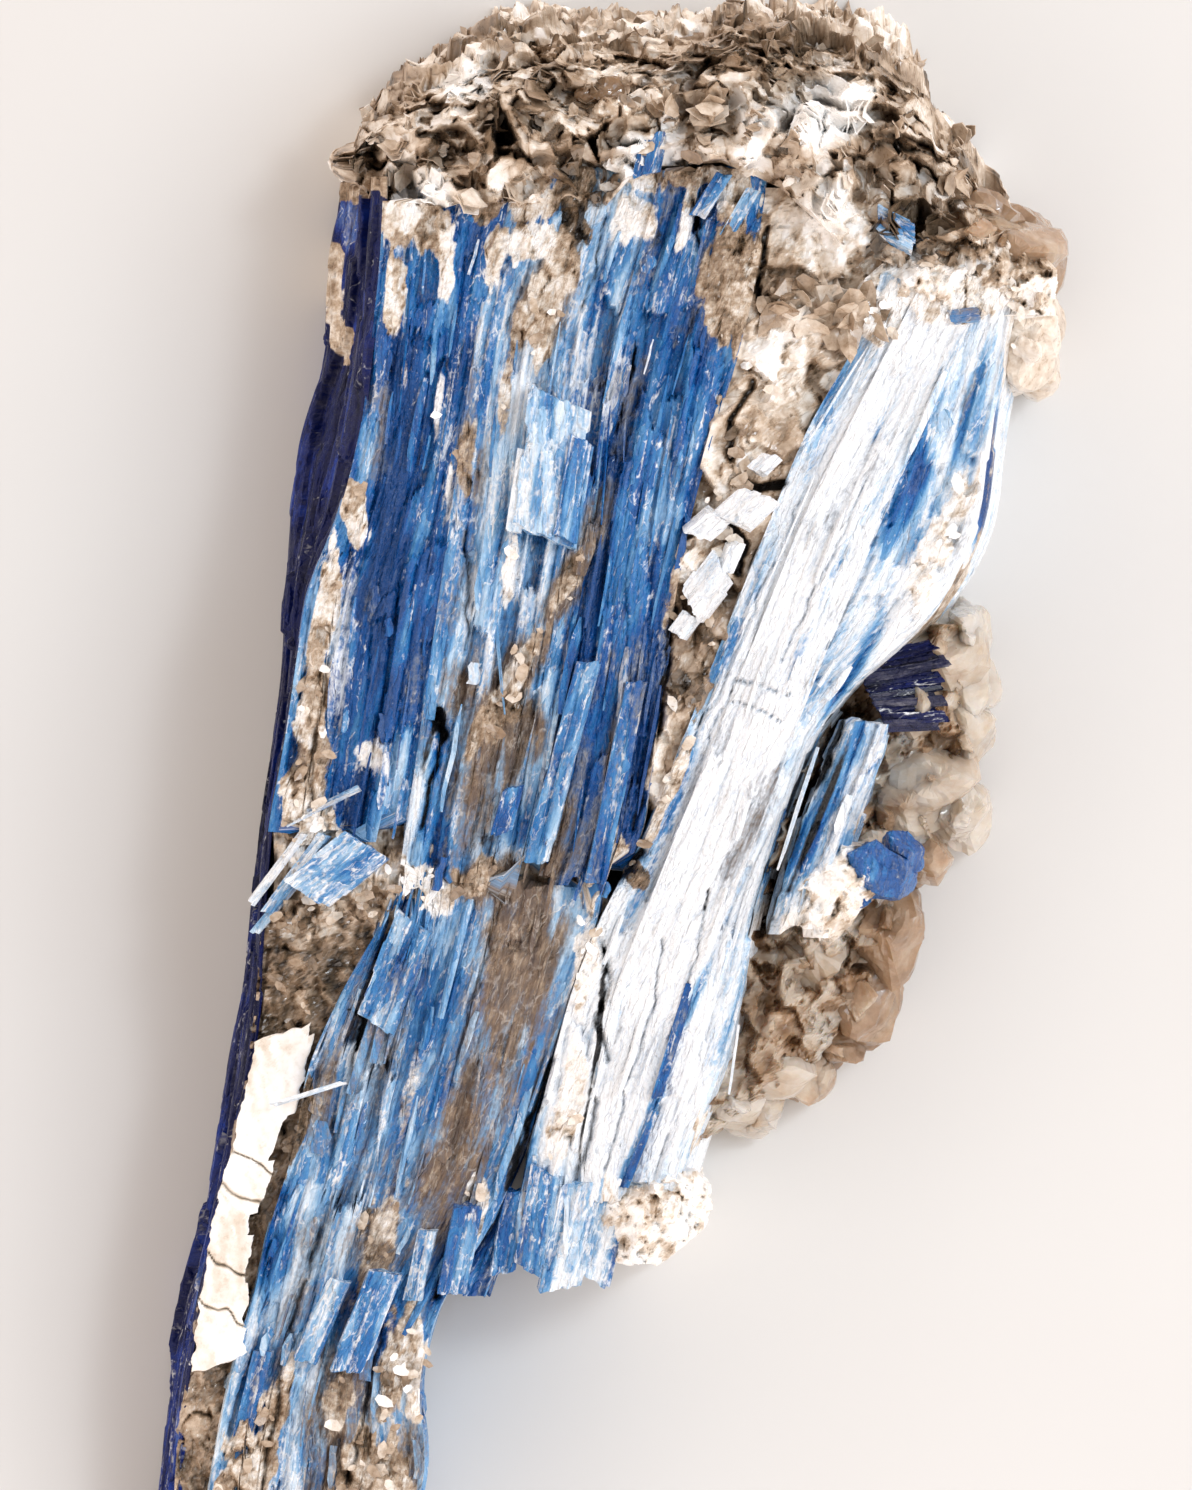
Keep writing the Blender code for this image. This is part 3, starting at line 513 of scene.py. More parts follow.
def half_sizes(x, y, middle_x, middle_y, wide, long, lean):
    """The distance from an ellipse's middle in half sizes, along axes that are turned by the lean: 1 is its
    edge."""
    turn = np.radians(lean)
    dx, dy = x - middle_x, y - middle_y
    sideways = (dx * np.cos(turn) - dy * np.sin(turn)) / wide
    lengthways = (dx * np.sin(turn) + dy * np.cos(turn)) / long
    return np.hypot(sideways, lengthways)


def patches(field, x, y, ruffle):
    """The sum of a field's ellipses: strength * soft_step(1.35 - r) where r is the distance in half sizes plus
    0.45 of the ruffle."""
    total = np.zeros_like(x)
    for *ellipse, strength in PATCHES[field]:
        total += strength * soft_step(1.35 - (half_sizes(x, y, *ellipse) + 0.45 * ruffle))
    return total


print("patches:", {field: len(rows) for field, rows in PATCHES.items()})

# %% [markdown]
# ## Crevices
# Here and there the blades have come apart, and a black gap a few tenths of a millimetre wide shows, or a
# fracture steps across them. Cutting them with Booleans would be slow and leave poor faces. Each is a line of
# knots with a width and a depth, and the skins sink along it. Their colour is also darkened along it: the
# black of the gap is painted shade.

# %% Crevices: (width, depth, painted shade, knots), in millimetres
CREVICES = [
    (0.4, 1.4, 0.9, [(13.4, 26.8), (16, 26), (18, 26.4)]),
    (0.4, 1.4, 0.9, [(12.4, 22.6), (14.2, 20.6), (13.6, 17.6)]),
    (0.3, 1.2, 0.5, [(15.4, 37), (13.2, 33), (13, 29)]), (0.24, 1.2, 0.5, [(16.6, 52), (15.6, 47), (16.2, 43)]),
    (0.55, 2.2, 1, [(24.5, 3.5), (22.5, -1), (20.5, -5), (19, -9), (17.5, -14), (16.2, -18.5)]),
    (0.26, 1.2, 0.35, [(0, -19), (0.9, -23), (-0.2, -27), (0.6, -31)]),
    (0.26, 1.3, 0.35, [(-0.6, -35), (-1.2, -39), (-2.5, -44), (-0.6, -46)]),
    (0.35, 1.4, 0.8, [(-5, -31), (-6.5, -36), (-9, -44)]), (0.5, 1.6, 0.9, [(-1, -14), (1.6, -12.6), (4, -10)]),
    (0.6, 2.4, 1, [(-16.4, 3.6), (-15.8, 1.2)]), (0.3, 1.2, 0.8, [(-15.8, 1.2), (-17, -3), (-18, -8)]),
    (0.14, 0.7, 0.22, [(13.6, 7), (16, 6.4), (19.4, 5.6)]), (0.14, 0.7, 0.22, [(12.6, 5), (15, 4.4), (18, 3)]),
    (0.12, 0.6, 0.4, [(21.5, 7.2), (25, 5.6)]), (0.12, 0.6, 0.22, [(13.4, 7), (11, 1), (8, -5)]),
    (0.16, 0.8, 0.22, [(20.6, 26), (17, 18), (13.4, 9), (8.8, 0)]),
    (0.14, 0.6, 0.35, [(26.5, 27), (22, 17), (18.4, 9)]),
    (0.14, 0.7, 0.22, [(30, 27), (27.4, 21), (25.6, 15.6), (22.6, 10)]),
    (0.12, 0.6, 0.4, [(34, 38), (31, 29), (28.6, 22)]),
    (0.16, 0.8, 0.22, [(6.4, -19), (5.4, -26), (2.6, -34), (0.6, -42)]),
    (0.14, 0.7, 0.4, [(10.6, -14), (9.4, -22), (6.8, -31)]), (0.3, 1, 0.7, [(-4.6, 31), (-4.9, 26)]),
    (0.25, 0.9, 0.6, [(-13.6, 22), (-13.2, 10)]), (0.3, 1, 0.7, [(7.4, 14), (5.6, 2), (3.4, -8)]),
    (0.3, 0.9, 0.5, [(-24.6, 20), (-27.4, 8), (-29, -6)]), (0.18, 0.5, 0.3, [(-9.4, -14), (-12, -22), (-15, -34)]),
    (0.3, 1, 0.6, [(-20.6, -18), (-24, -28), (-26.6, -38)]),
    (0.4, 1.2, 0.9, [(-12.5, -44), (-15, -50), (-16.4, -55)]),
    (0.3, 1, 0.6, [(-28, -48), (-31, -58), (-33.4, -70), (-35, -84)]),
    (0.3, 1, 0.6, [(-22, -58), (-24.6, -70), (-27, -84)]), (0.3, 1.2, 0.7, [(9.2, 55), (9.8, 50)]),
    (0.25, 0.8, 0.6, [(0.8, 53), (-1.6, 44)]), (0.2, 0.8, 0.5, [(3.6, 40), (1, 30), (-1.6, 20)]),
]


def crevice(x, y):
    """How far the surface sinks at (x, y), and how much painted shade darkens it there: for each line,
    exp(-(distance / width)^2) times its depth, where the distance is that to the nearest of its segments, and
    noise makes it crooked."""
    sink, dark = np.zeros(np.broadcast(x, y).shape), np.zeros(np.broadcast(x, y).shape)
    x = x + 0.35 * ripple(y / 1.7, x / 6, 31) + 0.12 * ripple(y / 0.5, x / 3, 32)
    y = y + 0.3 * ripple(x / 1.5, y / 6, 33)
    for width, depth, darkness, knots in CREVICES:
        knots = np.array(knots, float)
        nearest = np.full(sink.shape, 99.0)
        for (ax, ay), (bx, by) in zip(knots[:-1], knots[1:]):
            run = ((x - ax) * (bx - ax) + (y - ay) * (by - ay)) / ((bx - ax) ** 2 + (by - ay) ** 2)
            run = np.clip(run, 0, 1)
            nearest = np.minimum(nearest, np.hypot(x - ax - run * (bx - ax), y - ay - run * (by - ay)))
        near = np.exp(-((nearest / width) ** 2))
        sink, dark = np.maximum(sink, depth * near), np.maximum(dark, darkness * near)
    return sink, dark


# %% [markdown]
# ## Where mica has grown over the blades
# White and tan mica covers parts of the blades as a thin crumpled crust: a cream rim along the left margin, a
# wedge between the upper blades, knobs at the pale group's upper end. It isn't a thing of its own, so the
# blades' skins swell and crumple there and take its colour.

# %% Crusts: (x, y, half width, half length, lean, cover, tone from brown 0 to white 1)
CRUSTS = [
    (-18.4, 52.6, 3.6, 3.2, 0, 1, 0.78), (-20.4, 46, 1.2, 4, 4, 0.8, 0.8), (-12, 54.5, 3, 2.4, 0, 0.8, 0.5),
    (-6.5, 50.4, 3, 2.4, 0, 1, 0.88), (-7, 55, 4.4, 2.6, 0, 1, 0.66), (-5.6, 44.4, 2.6, 6.2, 14, 1, 0.62),
    (4.6, 57.4, 2.4, 2, 0, 1, 0.8), (9.6, 57.6, 3.4, 1.5, -6, 1, 0.6), (13.8, 55.4, 1.8, 3.4, 16, 1, 0.82),
    (8.4, 52.6, 0.8, 4.4, 14, 0.85, 0.8), (-10.6, 48.6, 1.2, 4.4, 8, 0.9, 0.82),
    (-15.4, 47.6, 0.8, 4.6, 4, 0.8, 0.9), (-16.6, 52.4, 2.2, 2.4, 20, 1, 0.7), (-22.6, 53.6, 2.4, 2.4, 0, 1, 0.5),
    (-9.4, 36, 0.9, 4, 6, 0.6, 0.66), (3, 53, 2.2, 3, 0, 0.8, 0.9), (-13.4, 30, 1, 5, 4, 0.6, 0.5),
    (-24.6, 24, 1.3, 4.5, -8, 1, 0.8), (-27.2, 14, 1.5, 7, 4, 1, 0.76), (-28.6, 3, 1.9, 8, 6, 1, 0.66),
    (-30.2, -7, 2.4, 6, 6, 1, 0.7), (-23, -0.6, 2, 1.5, 30, 0.6, 1), (-8.9, 17.4, 0.8, 3.8, 6, 0.9, 0.95),
    (-16.2, 34, 0.5, 4.4, 6, 0.6, 1), (-15, 27, 0.5, 3, 4, 0.6, 1), (-19.4, 38, 0.5, 2.4, 4, 0.5, 1),
    (-25, -11, 8, 1.5, 60, 1, 0.8), (-19, -13.6, 4.6, 2.4, 30, 1, 0.88), (-29, -17, 4, 2.6, 0, 1, 0.62),
    (-12.4, -13, 2.4, 2.2, -16, 0.8, 0.62), (-2.6, 55, 2.4, 4.6, 6, 1, 0.26), (-9.4, -20, 2, 4, 10, 0.45, 0.42),
    (0.6, -11.6, 1.6, 4.4, 30, 0.9, 0.7), (6.8, -4, 0.8, 7, 22, 0.8, 0.6), (-11, 3, 1.4, 6, 30, 0.7, 0.6),
    (-7.6, 9, 1.3, 5, 30, 0.7, 0.66), (-3.4, 16, 1.3, 4, 28, 0.7, 0.6), (-8.8, 3.6, 1.2, 1.6, 20, 0.6, 0.35),
    (17.4, 38.4, 3.2, 4.2, 20, 1, 0.9), (13.6, 30, 2.6, 6, 22, 1, 0.55), (13.4, 46, 3.6, 7, 10, 1, 0.5),
    (10.4, 18, 2.6, 8, 24, 1, 0.66), (8.6, 5, 1.4, 8, 24, 1, 0.6), (19, 47, 3, 5, 10, 1, 0.52),
    (23, 51.5, 4.8, 3.2, 0, 1, 0.95), (28, 53, 4, 3.4, 0, 1, 0.8), (35, 51.8, 9, 2.4, 0, 1, 0.4),
    (36, 45.4, 9, 2.6, -6, 1, 0.95), (33.6, 20, 1.9, 8, 24, 1, 0.97), (36.4, 13, 1.9, 6, 24, 1, 0.6),
    (31.6, 7.4, 1.6, 3.4, 40, 1, 0.45), (27.6, 43.4, 4, 3, -20, 1, 0.95), (42.6, 41.5, 2.4, 4.6, 0, 1, 0.92),
    (42.6, 48.6, 3.4, 3.2, 0, 1, 0.5), (41.4, 30, 1, 7, 14, 0.5, 0.6), (39.2, 15, 2.4, 6, 16, 0.9, 0.72),
    (27.4, -15.4, 5, 4.6, 0, 1, 0.9), (21.4, -17.6, 3.4, 2.4, 0, 1, 0.9), (26, -8, 1, 3, 20, 0.6, 0.6),
    (5.4, -47, 5.6, 2.6, 12, 1, 0.95), (1, -44, 1.2, 3, 0, 0.9, 0.95), (13, -39, 3.4, 2.6, 30, 0.9, 0.82),
    (-1.4, -22, 1.3, 7, 4, 0.9, 0.97), (-3, -34, 1.4, 8, 10, 0.8, 0.97), (-8.6, -22, 4, 5, 4, 0.35, 0.36),
    (-18.6, -62, 1.3, 9, -4, 1, 0.8), (-20.4, -76, 1.9, 10, -8, 1, 0.74), (-12.6, -46, 1.2, 3.4, 12, 0.8, 0.8),
    (-22, -50, 2.4, 6, 14, 0.6, 0.55), (-21, -63, 1.8, 8, 10, 0.7, 0.6), (-24, -76, 3.4, 10, 10, 0.95, 0.64),
    (-26.5, -66, 1.8, 5, 12, 0.6, 0.62), (-29, -82, 2.4, 7, 10, 0.8, 0.6), (-32.4, -66, 1.2, 7, 12, 0.7, 0.6),
    (-30, -37, 0.8, 5, 14, 0.8, 0.35), (-36.4, -76, 2.6, 9, 12, 1, 0.62), (-30.4, -22, 2.8, 5.4, 4, 1, 0.42),
    (-19, -34, 0.8, 5, 12, 0.5, 0.6), (12, 24, 2, 3.2, 24, 1, 0.95), (3.6, -12.6, 1.6, 1.2, 50, 0.9, 0.16),
    (17, -4, 1.5, 3, 26, 0.35, 0.6), (8.6, -19, 1, 4, 24, 0.35, 0.7),
]


def crust_at(x, y):
    """How much crust covers the place, from 0 to 1, its tone, and its height in millimetres. Each ellipse covers
    soft_step(1.5 (1.25 - r)), r being the distance in half sizes plus crumbly noise, the greatest cover holds,
    and the tone is the mean over the covers. The height is leaves of two sizes times the cover."""
    x, y = np.broadcast_arrays(x, y)
    cover, total, weight = np.zeros(x.shape), np.full(x.shape, 1e-6), np.full(x.shape, 1e-6)
    ruffle = cloud(x / 1.3 - y / 9, y / 3.6, 41, 4)
    for *ellipse, strength, tone in CRUSTS:
        share = strength * soft_step(1.5 * (1.25 - half_sizes(x, y, *ellipse) - 0.75 * ruffle))
        cover = np.maximum(cover, share)
        total, weight = total + share * tone, weight + share
    height, own, rim = leaves(x, y / 1.5, 2.6, 45)
    fine, fine_own, _ = leaves(x, y / 1.3, 1.1, 47)
    # Painted shade: the tone is darker near a leaf's rim, where it drops to the next leaf.
    tone = total / weight + 0.18 * cloud(x / 1.7, y / 3.2, 43, 4) + 0.14 * own + 0.10 * fine_own - 0.26 * rim
    return cover, tone, cover * (0.40 + 0.34 * height + 0.24 * fine)


# %% [markdown]
# ## Laths
# A blade splits into laths a few millimetres wide, each of those into thinner ones, and so on down to striae.
# A lath breaks across now and then, and what is left stands a little higher or lower than its neighbours. A
# tiled picture of laths would show its repeats, so the partition is worked out: lines of uneven spacing part
# the blade's width, each strip is cut into pieces of uneven length, and each piece gets its own height and
# tilt.


# %% Strips and laths
def strips(at, width, key, salt, wander=0.0):
    """Parts a line into strips of uneven width: line k lies at k, plus 0.22 of its own chance each way, plus
    the wander, times the width. The strip's number, the place in it from 0 to 1, and the millimetres to its
    nearer side."""
    at = at / width

    def side(k):
        own = k + 0.44 * (chance(k, key, salt) - 0.5)
        return own + 0.27 * ripple(wander, 7.31 * k, salt + 9) if np.ndim(wander) else own

    number = np.floor(at)
    number = number + (at >= side(number + 1)) - (at < side(number))
    start, end = side(number), side(number + 1)
    return number, (at - start) / (end - start), np.minimum(at - start, end - at) * width


def laths(across, along, width, length, salt):
    """Strips across the blade whose sides wander by themselves, so that they taper, each cut along its length
    by its own lines, which run askew and ragged. Gives each piece's own chance, the places across and along
    it, and the millimetres to its side and to its break."""
    sway = 0.6 * width * ripple(along / (1.6 * length), across / (6 * width), salt)
    lath, share, to_side = strips(across + sway, width, 0, salt + 1, along / (0.45 * length))
    askew = 1.6 * width * (chance(lath, 3, salt) - 0.5) * share * 2
    ragged = 0.3 * width * ripple(across / 0.3, along / 1.5, salt + 2)
    shifted = along + askew + ragged + 9.7 * length * chance(lath, 5, salt)
    piece, part, to_break = strips(shifted, length, lath, salt + 3)
    return chance(lath, piece, salt + 4), share, part, to_side, to_break


print("places across in the lath at x = 1.3 mm:", strips(np.array(1.3), 1.8, 0, 1)[1].round(3))

# %% The relief of the laths, and what it tells the finish
LATH_SIZES = ((4.0, 26, 0.8), (1.8, 13, 0.6), (0.6, 5, 0.12))  # width, length in millimetres, weight in the tone


def lath_relief(across, along, salt, heights):
    """Height in millimetres over the crest, summed over three sizes of lath: each piece's own level and tilt,
    less a groove exp(-(distance / 0.12 width)^2) at its sides. One middle piece in nine has dropped out, and
    one in nine stands proud. Also the pieces' own tones, and how near a thin bright side is."""
    height, tone, bright, pit = 0.0, 0.0, 0.0, 0.0
    for k, (width, length, weight) in enumerate(LATH_SIZES):
        own, share, part, to_side, to_break = laths(across, along, width, length, salt + 20 * k)
        whole = np.floor(own * 4096)
        tilt = (chance(whole, 1, salt) - 0.5) * (share - 0.5) * 1.8 + (chance(whole, 6, salt) - 0.5) * (part - 0.5)
        groove = np.exp(-((to_side / (0.12 * width)) ** 2))
        height = height + heights[k] * (2 * own - 1 + tilt) - 0.7 * heights[k] * groove
        tone = tone + weight * (2 * chance(whole, 2, salt) - 1)
        line = (chance(whole, 3, salt) > 0.6) * (share < 0.5)
        bright = np.maximum(bright, line * np.exp(-((to_side / 0.15) ** 2)))
        bright = np.maximum(bright, 0.8 * (chance(whole, 4, salt) > 0.5) * np.exp(-((to_break / 0.18) ** 2)))
        if k == 1:
            pit = (own < 0.11) * soft_step(to_side / 0.2) * soft_step(to_break / 0.3)
            height = height - 2.2 * heights[1] * pit + 1.4 * heights[1] * (own > 0.89) * soft_step(to_side / 0.15)
    return height, tone / 1.6, bright, pit


def tint(x, y, across, along, told, base, salt, patched=True):
    """The four values that the kyanite finishes read. told is what lath_relief gave, and base the blade's own
    (blueness, milkiness, staining). The rest is streaks, each lath's tone, and the patches."""
    height, tone, bright, pit = told
    streak = cloud(across / 1.1, along / 11, salt + 70, 3)
    thin = ripple(across / 0.4, along / 4.5, salt + 71)
    ruffle = cloud(across / 0.9, along / 6, salt + 72, 3)
    wash = cloud(across / 2.6, along / 7, salt + 73, 2)
    milky = cloud(across / 2.2, along / 6, salt + 74, 3)
    values = {
        # A pit where a lath has dropped out is painted darker, bluer and less milky as shade, and takes more stain.
        "blueness": base[0] + 0.24 * tone + 0.16 * streak + 0.04 * thin + 0.1 * pit,
        "milkiness": base[1] - 0.14 * tone + 0.08 * thin + 0.42 * bright - 0.2 * pit + 0.26 * milky,
        "staining": base[2] + 0.42 * wash + 0.12 * tone + 0.2 * pit,
        "darkness": 0.38 * pit * (height < -0.5) + 0.0 * x,
    }
    if patched:
        added = {field: patches(field, x, y, ruffle) for field in PATCHES}
        values = {field: value + added[field] for field, value in values.items()}
        values["milkiness"] = values["milkiness"] - 1.3 * np.maximum(added["blueness"], 0)
    return values


print("relief at the plan's middle:", lath_relief(np.zeros(1), np.zeros(1), 1, (1, 1, 1))[0].round(3), "mm")

# %% [markdown]
# ## Closed tubes
# Most pieces are rings that follow one another, as the ribs of a boat do, with faces between each two. A grid
# thickened by Solidify would be quicker to write, but its rim would be smooth, and a crystal's end is broken.
# So the rings go all the way round, and the tube is closed by smaller rings with steps in them.


# %% Tubes of rings, closed at both ends
def ring_faces(rows, columns):
    """Quads of a closed tube of rings, and the point numbers of the first and the last ring."""
    number = np.arange(rows * columns).reshape(rows, columns)
    beside = np.roll(number, -1, axis=1)
    quads = np.stack([number[:-1], beside[:-1], beside[1:], number[1:]], axis=-1).reshape(-1, 4)
    return quads, number[0], number[-1]


def closed_tube(rings, salt, rough=0.7):
    """A tube of rings (rows, columns, 3) closed at both ends: each end has two more rings that shrink to a
    middle point, and their broken faces are stepped by chance."""
    rows, columns = rings.shape[:2]
    quads, first, last = ring_faces(rows, columns)
    points, faces, tris = [rings.reshape(-1, 3)], [quads], []
    total = rows * columns
    for end, outer, sign in ((rings[0], first, -1), (rings[-1], last, 1)):
        middle = end.mean(0)
        for share in (0.7, 0.35):
            inner = middle + (end - middle) * share
            step = chance(np.floor(inner[:, 0] / 1.3), np.floor(inner[:, 2] / 1.1), salt)
            inner[:, 1] = middle[1] + share * (inner[:, 1] - middle[1]) + sign * rough * (step - 0.3)
            numbers = total + np.arange(columns)
            band = np.stack([outer, np.roll(outer, -1), np.roll(numbers, -1), numbers], axis=-1)
            faces.append(band if sign > 0 else band[:, ::-1])
            points.append(inner)
            outer, total = numbers, total + columns
        fan = np.stack([outer, np.roll(outer, -1), np.full(columns, total)], axis=-1)
        tris.append(fan if sign > 0 else fan[:, ::-1])
        points.append(middle[None])
        total += 1
    return np.concatenate(points), [np.concatenate(faces), np.concatenate(tris)]


def spread_fields(fields, rings, count):
    """Values at the rings' points, carried on to the points of the closed ends: each end takes its own
    ring's, and the middle point their mean."""
    rows, columns = rings.shape[:2]
    out = {}
    for name, values in fields.items():
        values = np.broadcast_to(values, (rows, columns, *values.shape[2:]))
        ends = [np.concatenate([v, v, v.mean(0, keepdims=True)]) for v in (values[0], values[-1])]
        out[name] = np.concatenate([values.reshape(rows * columns, *values.shape[2:]), *ends])
    return out


# %% [markdown]
# ## The blades
# A blade could be a bundle of separate sticks, but they would touch and cut one another everywhere. Here each
# blade is one closed skin over all its laths. Its top lies on the crest plus the laths' relief. A side that
# shows gets 44 columns of points, and one that faces a neighbour only five.

# %% A blade as one closed skin
STEP_ACROSS, STEP_ALONG = 0.17, 0.36  # mm between the points of a skin
INNER_WALL = np.array([0.02, 0.06, 0.16, 0.4, 1.0])


def wall_shares(visible):
    """How deep the columns of a side lie, from 0 at the top edge to 1 at the foot."""
    return np.linspace(0.02, 1, 44) if visible else INNER_WALL


def blade_skin(
    name, cad_node, left, right, low, high, base, finish, slot, salt, rise=0.0, jag=(2.0, 0.6), lap=0.22,
    open_sides=(False, False), ledges=((0, 0.0), (30, 0.3)), shelf=0.0, heights=(0.66, 0.36, 0.08), foot=0.15,
):
    """A blade between two boundary lines. Each ring across it runs over the top, down the right side, and up
    the left side: the top lies on the crest plus the laths' relief, and a side goes straight down and out by
    its ledges. The rings' ends are ragged by lath."""
    middle = (low + high) / 2
    width = line_x(right, middle) - line_x(left, middle)
    across_top = np.linspace(0, 1, int(width / STEP_ACROSS))
    down_left, down_right = (wall_shares(seen) for seen in open_sides)
    side = np.concatenate([across_top, np.ones(len(down_right)), np.zeros(len(down_left))])
    deep = np.concatenate([0 * across_top, down_right, down_left[::-1]])
    outward = np.concatenate([0 * across_top, 0 * down_right + 1, 0 * down_left - 1])
    rough_ends = chance(np.floor((side - 0.5) * width / 1.6), np.floor(deep * 9), salt + 7)
    starts, stops = low + jag[0] * rough_ends, high - jag[1] * rough_ends[::-1]
    y = starts + (stops - starts) * np.linspace(0, 1, int((high - low) / STEP_ALONG))[:, None]
    start, end = line_x(left, y) - lap, line_x(right, y) + lap - shelf
    half = (end - start) / 2
    across = (2 * side - 1) * half
    told = lath_relief(across, y, salt, heights)
    x = start + half + across
    sink, dark = crevice(x, y)
    cover, crust_tone, crumple = crust_at(x, y)
    top = crest(x, y) + rise + told[0] * (1 - 0.8 * cover) - sink + crumple
    fall = deep * (top - foot)
    spread = x + outward * fall
    walls = outward != 0
    cover[:, walls], crust_tone[:, walls], _ = crust_at(spread[:, walls], y[:, walls])
    dark[:, walls] = crevice(spread[:, walls], y[:, walls])[1]
    told_wall = lath_relief(fall + 40 * outward, y, salt + 5, heights)
    ledge = along_knots(ledges, fall)
    tuck = 1.1 * soft_step((deep - 0.82) / 0.18)
    on_wall = soft_step(fall / 0.8)
    grown = outward * (ledge + 0.6 * on_wall * told_wall[0] - tuck)
    rings = np.stack([x + grown, y, top - fall], axis=-1)
    told = [np.where(outward == 0, on_top, on_side) for on_top, on_side in zip(told, told_wall)]
    reach = across + outward * fall
    fields = tint(spread, y, reach, y, told, base, salt)
    # Painted shade: the crevices darken the top and the upper walls.
    fields["darkness"] = (1 - cover) * fields["darkness"] + dark * (deep < 0.3)
    fields["crust"], fields["crust_tone"] = cover, crust_tone
    fields["lath_place"] = np.stack([reach, y + 0 * reach, salt + 0 * reach], axis=-1)
    points, faces = closed_tube(rings, salt)
    fields = spread_fields(fields, rings, len(points))
    return put_mesh(name, points, faces, finish, [cad_node], fields)


# %% The ten blades
# Name, CAD node, left and right line, lower and upper end, base (blueness, milkiness, staining), finish, salt.
FINE_HEIGHTS = (0.4, 0.16, 0.04)
BLADE_ROWS = [
    ("left_blue_laths", "left_blue_blade", "flank_crest", "left_middle", -9.8, 55, (0.68, 0.14, 0.0), "deep", 100,
     {"jag": (4.0, 0.6)}),
    ("middle_laths", "middle_blade", "left_middle", "middle_right", -16.0, 58, (0.42, 0.29, 0.14), "pale", 200,
     {"jag": (6.0, 0.6)}),
    ("right_blue_laths", "right_blue_blade", "middle_right", "right_seam", -16.0, 58, (0.66, 0.12, 0.13), "deep", 300,
     {"rise": 0.3, "jag": (7.0, 0.6)}),
    ("pale_left_laths", "pale_left_blade", "seam_pale", "pale_left", -50, 47.5, (0.16, 0.62, 0.0), "pale", 400,
     {"heights": FINE_HEIGHTS}),
    # The broad pale blade's near-white milkiness is partly its own pearly white, partly a painted highlight.
    ("pale_broad_laths", "pale_broad_blade", "pale_left", "pale_right", -46, 47.5, (0.04, 0.82, 0.0), "pale", 500,
     {"rise": 0.4, "heights": (0.30, 0.12, 0.03)}),
    ("pale_right_laths", "pale_right_blade", "pale_right", "pale_outer", -45, 47.5, (0.16, 0.60, 0.0), "pale", 600,
     {"heights": FINE_HEIGHTS, "open_sides": (False, True), "shelf": 2.2,
      "ledges": ((0, 0), (0.6, 0.35), (6, 1.2), (6.8, 1.6), (12, 2.4), (30, 2.5))}),
    ("pale_lower_laths", "pale_lower_blade", "slit", "lower_outer", -18.5, 3, (0.24, 0.50, 0.02), "pale", 700,
     {"rise": -1.0, "lap": 0.0}),
    ("lower_blue_laths", "lower_blue_blade", "lower_left", "lower_middle", -88, -12, (0.44, 0.32, 0.18), "deep", 800,
     {"jag": (4.0, 5.0)}),
    ("stained_laths", "stained_blade", "lower_middle", "lower_right", -87, -11.0, (0.48, 0.20, 0.16), "stained", 900,
     {"heights": (0.3, 0.12, 0.03), "rise": -0.6, "jag": (4.0, 3.0), "open_sides": (False, True)}),
    ("tip_laths", "tip_blade", "lower_right", "tip_outer", -55.5, -45, (0.66, 0.2, 0.1), "deep", 1000,
     {"rise": -3.0, "jag": (2.0, 0.6), "open_sides": (False, True)}),
]
FINISH_OF = {
    "deep": (glassy_kyanite, "deep_blue_kyanite"),
    "pale": (pearly_kyanite, "pale_kyanite"),
    "stained": (stained_kyanite, "stained_kyanite"),
}
for name, cad_node, left, right, low, high, base, kind, salt, more in BLADE_ROWS:
    blade_skin(name, cad_node, left, right, low, high, base, *FINISH_OF[kind], salt, **more)

# %% [markdown]
# ## Splinters and flat chips
# Where a blade has split, its laths leave splinters that lean a little out of line, and thin plates that lie
# almost flat on their neighbours. They catch the light one by one, which the even skin can't. They could be
# copies of one rod, but copies look alike. Each is a rod of five cross-sections with four corners, narrowed to
# its ends, and all of a blade's rods are worked out together.


# %% Directions and even scatter
TABLE_Y = np.arange(-90, 60.1, 0.5)
LINES_AT = {name: np.array([line_x(name, y) for y in TABLE_Y]) for name in LINES}


def quick_x(name, y):
    """line_x read from a table at steps of 0.5 mm, for very many points."""
    return np.interp(y, TABLE_Y, LINES_AT[name])


def turned(facing, spin):
    """Two directions at right angles to each facing, turned round it by the spin."""
    helper = np.where(np.abs(facing[:, 2:]) < 0.9, [[0, 0, 1.0]], [[1.0, 0, 0]])
    first = unit(np.cross(helper, facing))
    second = np.cross(facing, first)
    c, s = np.cos(spin)[:, None], np.sin(spin)[:, None]
    return first * c + second * s, second * c - first * s


def scatter(count, salt):
    """count pairs of numbers from 0 to 1 that fill a square evenly: steps of the golden ratio's relatives."""
    k = np.arange(count) + salt
    return (k * 0.7548776662) % 1, (k * 0.5698402910) % 1


print("the first two scattered places:", *(np.round(axis, 3) for axis in scatter(2, 0)))

# %% Rods as one piece
STATIONS = np.array([-0.5, -0.3, 0.05, 0.3, 0.5])
ROD_CORNERS = np.array([(1, 1), (-1, 0.6), (-1, -1), (1, -0.8)]) / 2


